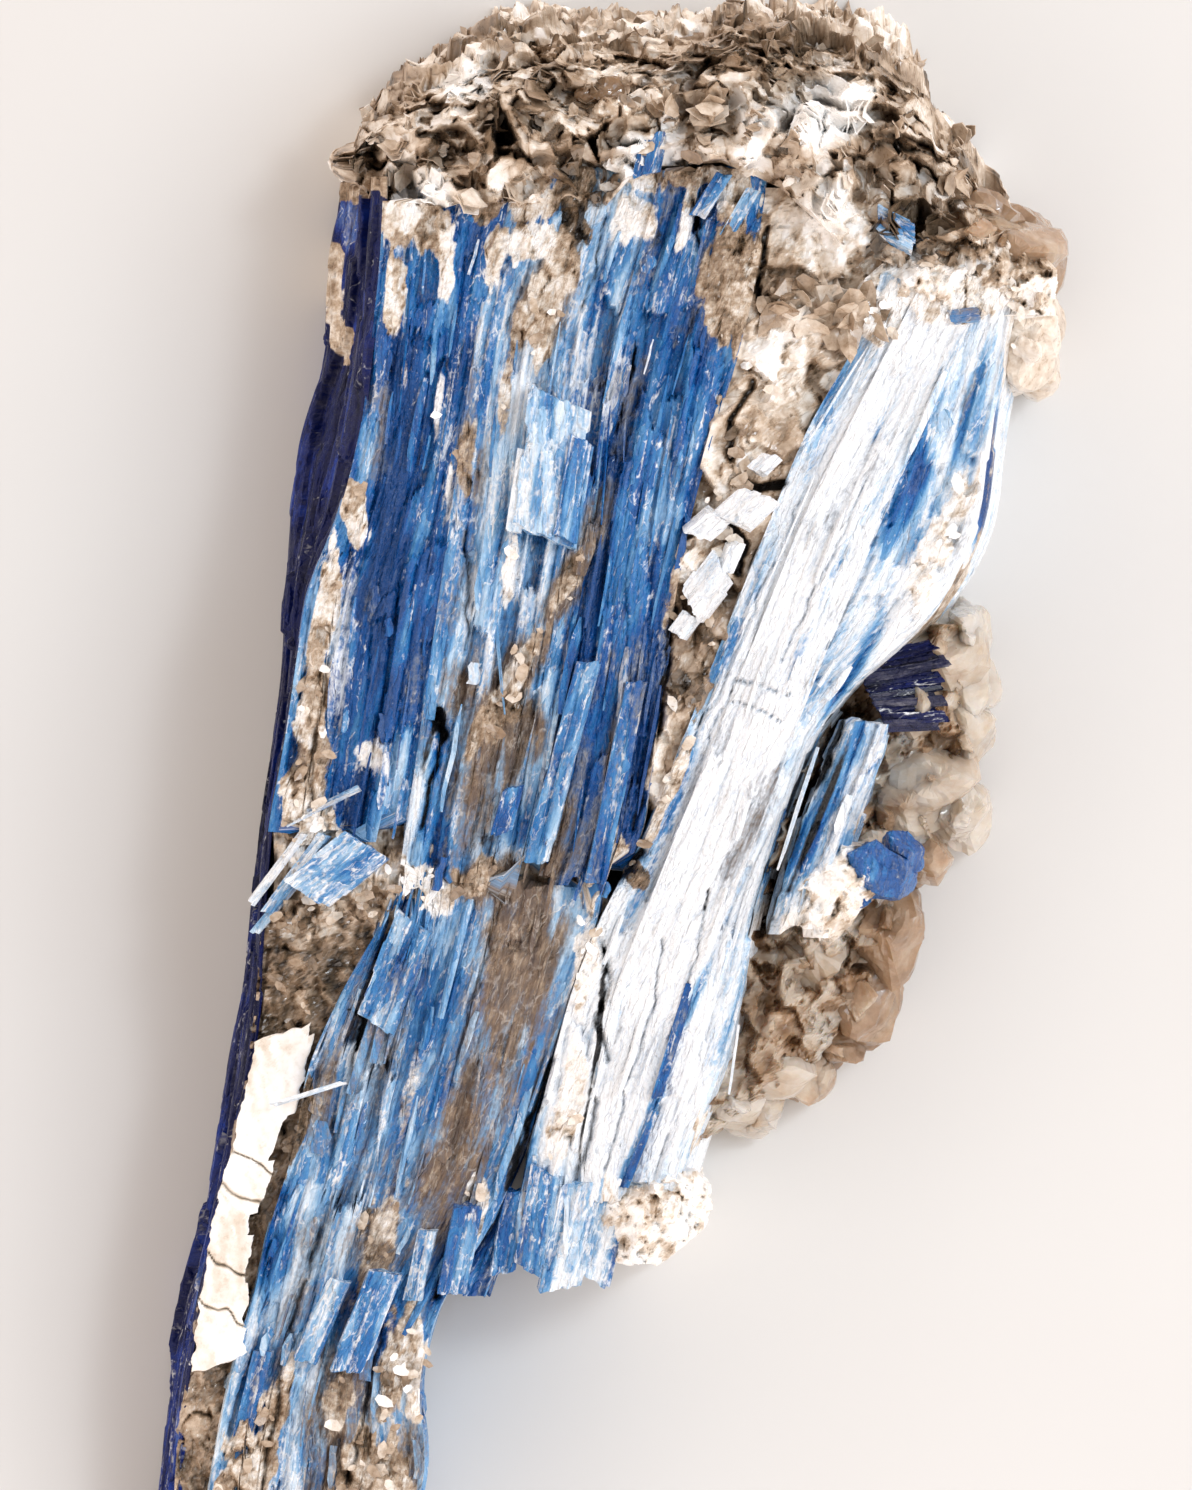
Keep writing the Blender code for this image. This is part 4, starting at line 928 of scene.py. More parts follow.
def rods(name, x, y, z, direction, length, width, thick, tilt, roll, ends, fields, finish, slot, salt):
    """Station t of -0.5 to 0.5 lies at the middle plus t * length along the direction (in the plan, as dx for
    each dy) and rises by tilt * t * length. The corners are a rectangle turned by roll, and narrowed by ends."""
    count = len(x)
    number = np.arange(count)[:, None]
    before, after = (0.75 + 0.25 * chance(number[:, 0], k, salt) for k in (1, 2))
    narrow = np.stack([ends[0], before, 0 * x + 1, after, ends[1]], 1)
    ahead = unit(np.stack([direction, 0 * direction + 1, tilt], -1))
    one, two = turned(ahead, roll)
    middle = np.stack([x, y, z], -1)[:, None] + (STATIONS * length[:, None])[..., None] * ahead[:, None]
    sway = (0.12 * width[:, None] * (chance(number, np.arange(5), salt + 3) - 0.5) * 4)[..., None] * one[:, None]
    off = ROD_CORNERS[:, 0][:, None] * (narrow * width[:, None])[..., None, None] * one[:, None, None]
    off = off + ROD_CORNERS[:, 1][:, None] * (narrow**0.5 * thick[:, None])[..., None, None] * two[:, None, None]
    points = ((middle + sway)[:, :, None] + off).reshape(count, 20, 3)
    quads, first, last = ring_faces(5, 4)
    quads = np.concatenate([quads, first[None, ::-1], last[None]])
    faces = [(20 * np.arange(count)[:, None, None] + quads).reshape(-1, 4)]
    carried = {key: np.repeat(value, 20, axis=0) for key, value in fields.items() if key != "lath_place"}
    carried["lath_place"] = (fields["lath_place"][:, None] + (points - middle[:, 2:3])).reshape(-1, 3)
    return put_mesh(name, points.reshape(-1, 3), faces, finish, (), carried)


# %% Splinters and plates over the blades
def splinters_on(row, density, salt):
    """The splinters of one blade: nine in ten are slim rods that lean out, and the rest are flat plates. Gives
    what rods asks for, without those that mica covers."""
    _, _, left, right, low, high, base, _, row_salt, more = row
    middle = (low + high) / 2
    width = float(line_x(right, middle) - line_x(left, middle))
    count = int(density * width * (high - low))
    share, along = scatter(count, salt + row_salt)
    y = low + 1.5 + (high - low - 2.5) * along
    start, end = quick_x(left, y), quick_x(right, y)
    x = start + share * (end - start)
    slope = (quick_x(left, y + 1) - start) * (1 - share) + (quick_x(right, y + 1) - end) * share

    def own(k):
        """Each splinter's own number from 0 to 1 for its k-th quality."""
        return chance(np.arange(count), k, row_salt)

    flat = chance(np.arange(count), 1, salt + row_salt) < 0.10
    length = np.where(flat, 1.6 + 4.0 * own(2) ** 2, 3.0 + 13.0 * own(2) ** 2)
    across = np.where(flat, 0.6 + 1.3 * own(3) ** 2, 0.20 + 0.7 * own(3) ** 3)
    thick = np.where(flat, 0.22, 0.9 * across)
    length = np.minimum(length, 2 * np.minimum(y - low, high - y) + 1.2)
    lean = 0.10 * (own(4) + own(5) - 1) + 0.5 * (own(6) > 0.96) * (own(7) - 0.5)
    tilt = 0.05 * (own(8) + own(9) - 1)
    roll = np.where(flat, 0.45, 1.1) * (own(10) + own(11) - 1)
    z = crest(x, y) + more.get("rise", 0.0) + 0.25 + 0.30 * own(12)
    half = (start + end) / 2
    told = (0 * x + 1, 1.2 * own(13) - 0.6, 1.0 * (own(14) > 0.92), 0 * x)
    fields = tint(x, y, x - half, y, told, base, row_salt)
    fields["lath_place"] = np.stack([x - half, y, row_salt + 5.0 + 0 * x], -1)
    bare = crust_at(x, y)[0] < 0.45
    shape = [v[bare] for v in (x, y, z, slope + lean, length, across, thick, tilt, roll)]
    ends = [v[bare] for v in (0.15 + 0.8 * own(15), 0.15 + 0.8 * own(16))]
    return shape, ends, {key: value[bare] for key, value in fields.items()}


for kind, density, salt in (("deep", 0.06, 2000), ("pale", 0.025, 2100), ("stained", 0.05, 2200)):
    parts = [splinters_on(row, density, salt) for row in BLADE_ROWS if row[7] == kind]
    shape, ends = ([np.concatenate(each) for each in zip(*(part[k] for part in parts))] for k in (0, 1))
    fields = {key: np.concatenate([part[2][key] for part in parts]) for key in parts[0][2]}
    rods(f"{kind}_splinters", *shape, ends, fields, *FINISH_OF[kind], salt)

# %% [markdown]
# ## The blade on edge
# The thick navy blade along the left side stands on its edge, so its broad face looks sideways. It is the same
# skin as the others, but its top runs down the slope: the profile gives the height as a share of the crest's,
# and distance across the laths is measured down the face. Its navy finish is its own deep blue darkened
# further as painted shade, since the face looks away from the light.

# %% The flank blade
FLANK_PROFILE = ((0, 0.16), (0.1, 0.40), (0.3, 0.46), (0.45, 0.68), (0.62, 0.74), (0.72, 0.93), (1.0, 1.0))


def flank_skin(low=-87.0, high=57.6, salt=1100):
    """The face: at share s of the way from the outer line to the crest line, the height is profile(s) times
    the crest less 0.8 mm. Its laths stand out sideways from the slope."""
    share = np.linspace(0, 1, 120)
    down = np.linspace(0.03, 1, 12)
    side = np.concatenate([share, np.ones(len(INNER_WALL)), 0 * down])
    deep = np.concatenate([0 * share, INNER_WALL, down[::-1]])
    outward = np.concatenate([0 * share, 0 * INNER_WALL + 1, 0 * down - 1])
    ends = chance(np.floor(side * 9), np.floor(deep * 5), salt)
    rows = np.linspace(0, 1, int((high - low) / STEP_ALONG))[:, None]
    y = low + 2.5 * ends + (high - 0.5 * ends - low - 2.5 * ends) * rows
    start, end = line_x("outer_left", y), line_x("flank_crest", y) + 0.2
    edge = crest(end, y) - 0.8
    face = along_knots(FLANK_PROFILE, side) * edge
    down_face = edge - face + 0.3 * side * (end - start)
    told = lath_relief(down_face + 7, y, salt, (0.5, 0.32, 0.15))
    relief, tone, bright, _ = told
    fall = deep * (face - 0.15)
    x = start + side * (end - start)
    sideways = np.where(side < 0.97, 1.0, 0.3) * (outward <= 0)
    grown = -0.7 * relief * sideways + 0.6 * (outward < 0) * soft_step((deep - 0.5) / 0.5)
    rings = np.stack([x + grown, y, face - fall + 0.5 * relief * (outward == 0)], axis=-1)
    fields = flank_fields(x, y, down_face, tone, bright, salt)
    fields["lath_place"] = np.stack([down_face + fall, y, salt + 0 * y + 0 * x], axis=-1)
    points, faces = closed_tube(rings, salt)
    fields = spread_fields(fields, rings, len(points))
    # The navy finish is darkened as painted shade on this face.
    finish, slot = navy_kyanite_with_painted_shade, "deep_blue_kyanite"
    return put_mesh("flank_laths", points, faces, finish, ["flank_blade"], fields, smooth=True)


def flank_fields(x, y, down_face, tone, bright, salt):
    """What the navy finish reads: streaks down the face, a cream sliver and a pale patch near the upper end, a
    paler lower end, and mica over the last 2 mm at the top."""
    streak = cloud(down_face / 1.6, y / 14, salt + 9, 3)
    sliver = 1.2 - np.hypot((x + 26.6 + 0.12 * (y - 45)) / 1.3, (y - 46) / 7)
    sliver = soft_step(2 * (sliver - 0.5 * cloud(x, y / 2, salt + 14)))
    pale = soft_step(2 * (1.1 - np.hypot((x + 25.4) / 1.0, (y - 53) / 3.2)))
    lower = soft_step((-30 - y) / 20)
    under_mica = soft_step((y - 55.2 + 1.6 * cloud(x / 1.6, y / 2.4, salt + 16)) / 1.4)
    return {
        "blueness": 0.62 + 0.3 * streak + 0.12 * tone + 0 * x - 0.45 * pale - 0.16 * lower,
        "milkiness": 0.0 * x + 0.25 * bright * (y < 10) + 0.3 * pale + 0.16 * lower,
        "staining": 0.14 + 0.55 * cloud(down_face / 1.3, y / 9, salt + 12, 3) + 0 * x,
        "darkness": 0.0 * x,
        "crust": np.maximum(sliver, under_mica) + 0.0 * x,
        "crust_tone": 0.62 - 0.2 * under_mica + 0.3 * cloud(x, y, salt + 15),
    }


flank_skin()

# %% [markdown]
# ## Mica
# Mica splits into sheets thinner than paper, so it comes as scales and crumpled little books. Clean muscovite
# is silvery white. With iron it turns tan to brown. A scale's face is pearly and mirrors the light all at
# once, which gives the glints. Each scale carries one tone of its own, and the ramp turns it into a colour.


# %% Mica finishes
NOISE_MEAN = 0.5  # a noise node's values lie about this, so a noise's weight times it is taken off again


def mica(name, tones, gloss):
    """tones is a ramp over the scale's own tone from 0 to 1, and gloss the least and the most roughness. The
    grain is about 1 mm wide, and the broad clouds 6 mm."""
    material, tree, shader = new_material(name)
    tone = node(tree, "Attribute", {"attribute_name": "tone"}).outputs["Fac"]
    place = node(tree, "TexCoord").outputs["Object"]
    grain = node(tree, "TexNoise", Vector=place, Scale=900.0, Detail=4.0, Roughness=0.65).outputs["Fac"]
    broad = node(tree, "TexNoise", Vector=place, Scale=160.0, Detail=3.0).outputs["Fac"]
    shade = weighted(tree, tone, (grain, 0.55), (broad, 0.5), (0.55 + 0.5, -NOISE_MEAN))
    colour = node(tree, "ValToRGB", {"stops": tones}, Fac=shade).outputs["Color"]
    rough = node(tree, "MapRange", Value=grain, From_Min=0.3, From_Max=0.7, To_Min=gloss[0], To_Max=gloss[1])
    relief = node(tree, "Bump", Strength=0.5, Distance=0.2 * MM, Height=grain)
    fill(tree, shader, Base_Color=colour, Roughness=rough.outputs[0], IOR=1.58, Coat_Weight=0.35,
         Coat_Roughness=0.12, Normal=relief.outputs["Normal"])
    return material


SILVER = [(0.0, "#5B4F44"), (0.25, "#A8967F"), (0.5, "#DCCFBF"), (0.7, "#F3EEE7"), (1.0, "#FFFFFF")]
tan_mica = mica("iron-stained mica, scaly", CRUST_TONES, (0.2, 0.5))
silver_mica = mica("muscovite, silvery", SILVER, (0.2, 0.5))
print("mica finishes:", tan_mica.name, "and", silver_mica.name)

# %% [markdown]
# ## Rock between the blades
# Stained mica fills the grooves between the blades as one crumpled mass. Its top lies between two lines at a
# given height, ruffled by noise with sharp folds and by heaped leaves, and its sides go straight down, so it
# is the same closed ring skin. A sculpted patch would look as good, but it couldn't follow the blades' lines.


# %% Crumpled skins
def rock_skin(
    name, cad_nodes, levels, start, end, top, finish, slot, salt, tone, fold=1.0, size=2.2, foot=0.1, leafy=0.3,
):
    """A crust between the lines start and end (x at each level of y), with its top at top(x, y) plus fold
    times the folds and leaves of that size."""
    columns = max(int(np.abs(end - start).mean() / 0.19), 8)
    across = np.linspace(0, 1, columns)
    down = np.linspace(0.04, 1, 14)
    side = np.concatenate([across, 0 * down + 1, 0 * down])
    deep = np.concatenate([0 * across, down, down[::-1]])
    outward = np.concatenate([0 * across, 0 * down + 1, 0 * down - 1])
    y = np.repeat(levels[:, None], len(side), 1)
    x = start[:, None] + side * (end - start)[:, None]
    sink, dark = crevice(x, y)
    leaf, leaf_tone, rim = leaves(x, y, 0.9 * size, salt + 30)
    fine = leaves(x, y, 0.36 * size, salt + 50)[0]
    relief = fold * (folds(x / size, y / size, salt) - 0.6 + leafy * (leaf + fine))
    height = top(x, y) + relief - sink + 0.8 * crust_at(x, y)[2]
    fall = deep * (height - foot)
    tuck = 0.8 * soft_step((deep - 0.8) / 0.2)
    bulge = outward * (0.5 * fold * cloud(fall / 2.5, y / 2.5, salt + 9) * soft_step(fall) - tuck)
    spread = x + outward * fall
    walls = outward != 0
    side_leaf, leaf_tone[:, walls], rim[:, walls] = leaves(spread[:, walls], y[:, walls], 0.9 * size, salt + 30)
    bulge[:, walls] += outward[walls] * 0.5 * leafy * side_leaf * soft_step(fall[:, walls])
    # The leaves' rims and the crevices are painted darker, as shade in the gaps.
    own = tone + 0.20 * cloud(spread / 1.8, y / 1.8, salt + 20) + leafy * (0.5 * leaf_tone - 0.7 * rim) - 0.8 * dark
    cover, crust_tone, _ = crust_at(spread, y)
    own = own + 0.8 * cover * (crust_tone - tone) - 0.8 * dark
    rings = np.stack([x + bulge, y, height - fall], axis=-1)
    points, faces = closed_tube(rings, salt)
    return put_mesh(name, points, faces, finish, cad_nodes, spread_fields({"tone": own}, rings, len(points)))


def between(left, right, low, high, pad=0.2):
    """The levels and the two lines of a crust between two boundary lines."""
    levels = np.linspace(low, high, int((high - low) / 0.24))
    return levels, line_x(left, levels) - pad, line_x(right, levels) + pad


GROOVE_DEPTH = [(-86, 0.8), (-62, 1.0), (-54, 1.4), (-44, 1.75), (-30, 2.15), (-26, 2.15), (-20, 1.6)]
rock_skin("seam_rock", ["seam_mica"], *between("right_seam", "seam_pale", -6, 56), lambda x, y: crest(x, y) - 1.0,
          tan_mica, "mica_crust", 1200, 0.58, fold=0.8, size=6.0, leafy=0.34)
rock_skin("groove_rock", ["groove_mica"], *between("flank_crest", "lower_left", -86, -15.4),
          lambda x, y: crest(x, y) - along_knots(GROOVE_DEPTH, y), tan_mica, "stained_mica", 1300, 0.40)

# %% [markdown]
# ## Scales
# Hundreds of mica scales 1 to 3 mm across stand on the crusts. One scale is a bent plate with a rim: seven
# points round its top, seven below, and two middles. All the scales of a crust are worked out in one go, each
# turned to its own facing, and become one mesh. A particle system would be quicker to set up, but its copies
# aren't a mesh that can be kept.


# %% Many scales as one piece
def scales(name, at, facing, size, tone, finish, salt, bend, thick, slim, spin=None, sides=7):
    """Bent plates: rim point k lies at the angle 2 pi k / sides and 0.7 to 1.1 of the size away, the plate is
    slimmer one way, and its height over its middle is bend * x^2 / size."""
    count = len(at)
    number = np.arange(count)
    angle = np.linspace(0, 2 * np.pi, sides, endpoint=False)
    away = 0.68 + 0.42 * chance(number[:, None], np.arange(sides), salt)
    spin = 2 * np.pi * chance(number, 1, salt + 1) if spin is None else spin
    one, two = turned(facing, spin)
    x = size[:, None] * away * np.cos(angle)
    y = size[:, None] * away * np.sin(angle) * slim
    curl = bend * (0.3 + 1.2 * chance(number, 2, salt + 2)) * np.sign(chance(number, 3, salt + 3) - 0.35)
    z = curl[:, None] * x**2 / size[:, None] + 0.3 * curl[:, None] * y * x / size[:, None]
    deep = (thick * size)[:, None]

    def place(x, y, z):
        flat = at[:, None] + x[..., None] * one[:, None] + y[..., None] * two[:, None]
        return flat + z[..., None] * facing[:, None]

    zero = np.zeros((count, 1))
    plate = [place(zero, zero, zero), place(x, y, z), place(x, y, z - deep), place(zero, zero, zero - deep)]
    points = np.concatenate(plate, axis=1)
    k = np.arange(sides)
    nxt = (k + 1) % sides
    top = np.stack([0 * k, 1 + k, 1 + nxt], axis=-1)
    under = np.stack([0 * k + 2 * sides + 1, 1 + sides + nxt, 1 + sides + k], axis=-1)
    rim = np.stack([1 + k, 1 + sides + k, 1 + sides + nxt, 1 + nxt], axis=-1)
    per = 2 * sides + 2
    first = (number * per)[:, None, None]
    faces = [(first + np.concatenate([top, under])).reshape(-1, 3), (first + rim).reshape(-1, 4)]
    return put_mesh(name, points.reshape(-1, 3), faces, finish, (), {"tone": np.repeat(tone, per)})


print("a scale has", 2 * 7 + 2, "points and", 4 * 7, "triangles")


# %% [markdown]
# ## The mica crust over the upper ends
# The crust is a craggy shoulder: low at its outer rim, highest over the blades' ends. Its top is a grid from
# its lower edge in the plan to its upper edge, and its leaves are worked out along the unfolded surface, or
# they would be drawn out on the steep back. The dark gaps between the leaves are painted shade: the leaves'
# rims are coloured darker. Little books of scales stand on it here and there.

# %% The crust's edges, lumps and profile
CAP_FOOT = [
    (-25, 57.5), (-20, 52.5), (-14, 54.5), (-6, 54.5), (0, 53.5), (4, 58), (12, 58.5), (18, 56),
    (24, 50.5), (30, 48), (39, 48),
]
CAP_TOP = [
    (-25, 59.5), (-24, 63), (-21, 67.5), (-17, 69.8), (-13, 72), (-10, 74.2), (-4, 74), (5, 73),
    (10, 73.3), (14, 75), (20, 75), (26, 74.5), (31, 71.3), (33, 68), (33.6, 64.5), (36, 62.5), (39, 57.5),
]
CAP_SPINE = [(-25, 15), (-19, 22), (-10, 26.5), (5, 28), (18, 29), (28, 28), (34, 25), (39, 21)]
CAP_LUMPS = [
    (-15, 64, 1.8, 4), (-8, 70, -2.0, 3), (-2, 61, 2.6, 4), (4, 68, -1.2, 3), (10, 64, -2.4, 3.5),
    (17, 69, 2.6, 5), (26, 66, 2.2, 4), (24, 56, 1.2, 3), (31, 53, -2.6, 3), (35, 57, 2.0, 3),
]
CAP_PROFILE = ((0, 0.2, 0.45, 0.65, 0.8, 0.92, 1.0), (0.93, 0.99, 1.0, 0.93, 0.78, 0.55, 0.25))
print("the crust reaches from", CAP_FOOT[0][0], "to", CAP_FOOT[-1][0], "mm across the blades")

# %% A point of the crust's top
def cap_leaves(x, path, salt=1400):
    """The leaves at a place along x and along the unfolded surface: their height in millimetres, and how much
    lighter or darker they are, darker at their rims as painted shade in the gaps between them."""
    big, fine = leaves(x, path, 5.0, salt + 40), leaves(x, path, 2.1, salt + 60)
    return 0.85 * big[0] + 0.95 * fine[0], 0.12 * big[1] + 0.14 * fine[1] - 0.28 * big[2] - 0.26 * fine[2]


def cap_path(x, share):
    """The way along the unfolded surface: y, plus the fall beyond the highest place."""
    foot, top = along_knots(CAP_FOOT, x), along_knots(CAP_TOP, x)
    fall = np.where(share > 0.45, 1 - np.interp(share, *CAP_PROFILE), 0) * along_knots(CAP_SPINE, x)
    return foot + share * (top - foot) + fall


def cap_point(x, share, salt=1400):
    """A point of the crust's top: y runs from the lower to the upper edge with the share, and the height is
    the profile times the spine's, plus the lumps, each height * exp(-2 (distance / radius)^2), plus folds and
    leaves. The leaves stand out upwards on the top and backwards on the steep back."""
    foot, top = along_knots(CAP_FOOT, x), along_knots(CAP_TOP, x)
    y = foot + share * (top - foot)
    z = np.interp(share, *CAP_PROFILE) * along_knots(CAP_SPINE, x)
    path, steep = cap_path(x, share), soft_step((share - 0.68) / 0.22)
    for lump_x, lump_y, height, radius in CAP_LUMPS:
        z = z + height * np.exp(-2 * ((x - lump_x) ** 2 + (y - lump_y) ** 2) / radius**2)
    relief = cap_leaves(x, path, salt)[0]
    z = z + 3.6 * (folds(x / 6.5, path / 5.6, salt) - 0.62) * (1 - 0.6 * steep) + relief * (1 - 0.75 * steep)
    y = y + 0.5 * cloud(x / 2.0, path / 2.6, salt + 8) * (share > 0.05)
    return y + steep * (0.6 * np.maximum(relief, -0.5) - 0.5), np.maximum(z, 1.0)


# %% The crust's mass
CAP_TONES = [  # x, y, half width, half length, how much lighter
    (22, 63, 4.6, 3.4, 0.55), (-14.5, 66.5, 5, 1.8, 0.35), (-17.6, 54.6, 3, 3.4, 0.45), (25, 66.6, 3.4, 2.4, 0.25),
    (3, 58.6, 1.8, 2.4, 0.5), (15, 58, 2, 2, 0.3), (23.6, 53.4, 4, 3, 0.4), (-8, 61.5, 3.6, 4, -0.3),
    (16, 70, 8, 4, -0.22), (-2.4, 56.6, 3, 5, -0.22), (30, 52.4, 3, 2, -0.5), (28, 60, 3, 2, -0.25),
    (-22, 58, 2, 6, -0.1), (-20, 66, 4, 3, -0.15),
]


def cap_tone(x, y):
    """Lighter and darker regions of the crust: the sum of strength * soft_step(1.4 - r) over ellipses."""
    return sum(s * soft_step(1.4 - np.hypot((x - a) / w, (y - b) / h)) for a, b, w, h, s in CAP_TONES)


def cap_nose(ring, outward, salt):
    """The crust's rounded end: copies of its last ring, shrunk to a share s and pushed out by 2 sqrt(1 - s^2),
    with leaves and crumbs in the push. Gives the copies from the smallest on, and how their tone differs."""
    share = np.array([0.12, 0.3, 0.48, 0.64, 0.78, 0.9])[:, None]
    middle = ring.mean(0)
    inner = middle + (ring - middle) * share[..., None]
    leaf, own, rim = leaves(inner[..., 1], inner[..., 2], 2.4, salt + 80)
    inner[..., 0] = ring[:, 0] + outward * (2.0 * np.sqrt(1 - share**2) + 0.5 * leaf * (1 - share))
    # Painted shade: the nose's tone is darker at the leaves' rims.
    return inner, 0.2 * own - 0.3 * rim


def cap_skin(salt=1400):
    """The crust as rings: each ring goes over the top from the lower edge to the upper one and back along the
    bottom, and the rings follow one another along x."""
    x = np.linspace(-24.8, 38.9, 360)
    share = np.interp(np.linspace(0, 1, 165), (0, 0.6, 1), (0, 0.78, 1))
    down_front, down_back = np.linspace(0, 0.995, 10), np.linspace(0.06, 0.995, 14)
    y, z = cap_point(x[:, None], share, salt)
    path = cap_path(x[:, None], share)
    top = np.stack([x[:, None] + 0 * share, y, z], axis=-1)
    front = np.stack([x[:, None] + 0 * down_front, y[:, :1] + 0 * down_front, z[:, :1] * (1 - down_front[::-1])], -1)
    back = np.stack([x[:, None] + 0 * down_back, y[:, -1:] + 0 * down_back, z[:, -1:] * (1 - down_back)], -1)
    rings = np.concatenate([top, back, front], axis=1)
    down_path, up_path = path[:, -1:] + z[:, -1:] - back[..., 2], path[:, :1] - z[:, :1] + front[..., 2]
    path = np.concatenate([path, down_path, up_path], axis=1)
    relief, leaf_tone = cap_leaves(x[:, None], path, salt)
    behind = slice(len(share), len(share) + len(down_back))
    relief = np.maximum(relief, -0.5)
    rings[:, behind, 1] += 0.6 * (relief[:, behind] - relief[:, len(share) - 1 : len(share)])
    tone = 0.70 + 0.24 * cloud(rings[..., 0] / 4, path / 3, salt + 7)
    tone = tone + cap_tone(rings[..., 0], rings[..., 1]) + leaf_tone
    (left, left_tone), (right, right_tone) = cap_nose(rings[0], -1, salt), cap_nose(rings[-1], 1, salt)
    rings = np.concatenate([left, rings, right[::-1]])
    tone = np.concatenate([tone[0] + left_tone, tone, tone[-1] + right_tone[::-1]])
    rows, columns = rings.shape[:2]
    quads, start, stop = ring_faces(rows, columns)
    caps = []
    points = [rings.reshape(-1, 3)]
    for ring, numbers, flip in ((rings[0], start, False), (rings[-1], stop, True)):
        fan = np.stack([numbers, np.roll(numbers, -1), np.full(columns, rows * columns + len(caps))], axis=-1)
        caps.append(fan if flip else fan[:, ::-1])
        points.append(ring.mean(0)[None])
    points = np.concatenate(points)
    values = np.concatenate([tone.ravel(), tone[[0, -1]].mean(1)])
    faces = [quads, np.concatenate(caps)]
    return put_mesh("mica_crust_mass", points, faces, tan_mica, ["mica_crust"], {"tone": values})


cap_skin()


# %% Little books of scales on the crust
def cap_books(count=150, sheets=4, salt=1500):
    """Little books of mica: each stands on the crust at a place of its own and turned its own way, and its
    sheets lie one over the other with small slips and turns."""
    a, b = scatter(count, salt)
    x = -24.6 + 63.3 * a
    y, z = cap_point(x, b)
    slope_y, slope_z = cap_point(x, b + 0.03)
    other_y, other_z = cap_point(x + 0.8, b)
    along_share = np.stack([0 * x, slope_y - y, slope_z - z], -1)
    along_x = np.stack([0 * x + 0.8, other_y - y, other_z - z], -1)
    facing = unit(np.cross(along_x, along_share))
    k = np.arange(count)
    lean = np.stack([chance(k, c, salt) - 0.5 for c in (1, 2, 3)], -1)
    book_facing = unit(facing + 0.8 * lean)
    size = 0.8 + 1.5 * chance(k, 4, salt) ** 1.6
    tone = 0.52 + 0.24 * cloud(x / 5, y / 5, salt + 5, 2) + 0.30 * (chance(k, 5, salt) - 0.5) + cap_tone(x, y)
    middle = np.stack([x, y, z], -1) + facing * (0.1 * size * chance(k, 7, salt) - 0.1)[:, None]
    leaf = np.tile(np.arange(sheets), count)
    k = np.repeat(k, sheets)
    slip = np.stack([chance(k, leaf * 3 + c, salt + 8) - 0.5 for c in (0, 1, 2)], -1)
    gap = (0.20 + 0.10 * chance(k, 8, salt)) * size[k]
    at = middle[k] + book_facing[k] * (gap * (leaf - sheets / 2))[:, None] + slip * 0.35 * size[k][:, None]
    own_facing = unit(book_facing[k] + 0.25 * slip)
    spin = 2 * np.pi * chance(k, 9, salt) + 0.5 * slip[:, 0]
    leaf_size = size[k] * (0.7 + 0.4 * chance(k, leaf, salt + 10))
    leaf_tone = tone[k] + 0.16 * (chance(k, leaf, salt + 11) - 0.5)
    return scales("mica_crust_scales", at, own_facing, leaf_size, leaf_tone, tan_mica, salt,
                  bend=0.6, thick=0.07, slim=0.55, spin=spin)


cap_books()

# %% [markdown]
# ## Quartz
# Quartz lumps close the right flank. They are glassy, 1.54 in index, cloudy with tiny cracks, and stained
# honey to smoke by iron. A clear glass would show the inside of the model, so only a part of the light goes
# through, and the rest scatters at the milky inside. Each lump is a round body cut by flat faces.


# %% Quartz, milky and smoky
def quartz(name, tones, through):
    """tones is a ramp over the lump's own tone, and through the share of light that goes through. The clouds
    are about 4 mm wide, and the cracks 3 mm apart."""
    material, tree, shader = new_material(name)
    tone = node(tree, "Attribute", {"attribute_name": "tone"}).outputs["Fac"]
    place = node(tree, "TexCoord").outputs["Object"]
    cloudy = node(tree, "TexNoise", Vector=place, Scale=260.0, Detail=5.0, Roughness=0.6).outputs["Fac"]
    cracks = node(tree, "TexVoronoi", {"feature": "DISTANCE_TO_EDGE"}, Vector=place, Scale=330.0).outputs["Distance"]
    shade = weighted(tree, tone, (cloudy, 0.8), (0.8, -NOISE_MEAN))
    colour = node(tree, "ValToRGB", {"stops": tones}, Fac=shade).outputs["Color"]
    relief = node(tree, "Bump", Strength=0.4, Distance=0.4 * MM, Height=weighted(tree, cloudy, (cracks, 0.8)))
    fill(tree, shader, Base_Color=colour, Roughness=0.12, IOR=1.54, Transmission_Weight=through,
         Subsurface_Weight=0.25, Subsurface_Radius=(2.5 * MM, 1.8 * MM, 1.2 * MM), Subsurface_Scale=1.0,
         Normal=relief.outputs["Normal"])
    return material


HONEY = [
    (0.0, "#4A3424"), (0.25, "#8C6C4E"), (0.45, "#C2A283"), (0.62, "#E3CFB8"), (0.8, "#F3E8DA"), (1.0, "#FCF8F2"),
]
honey_quartz = quartz("quartz, iron-stained", HONEY, 0.45)
print("quartz finish:", honey_quartz.name)

# %% Faceted lumps as one piece
FACES_EACH, SHARPNESS = 11, 80


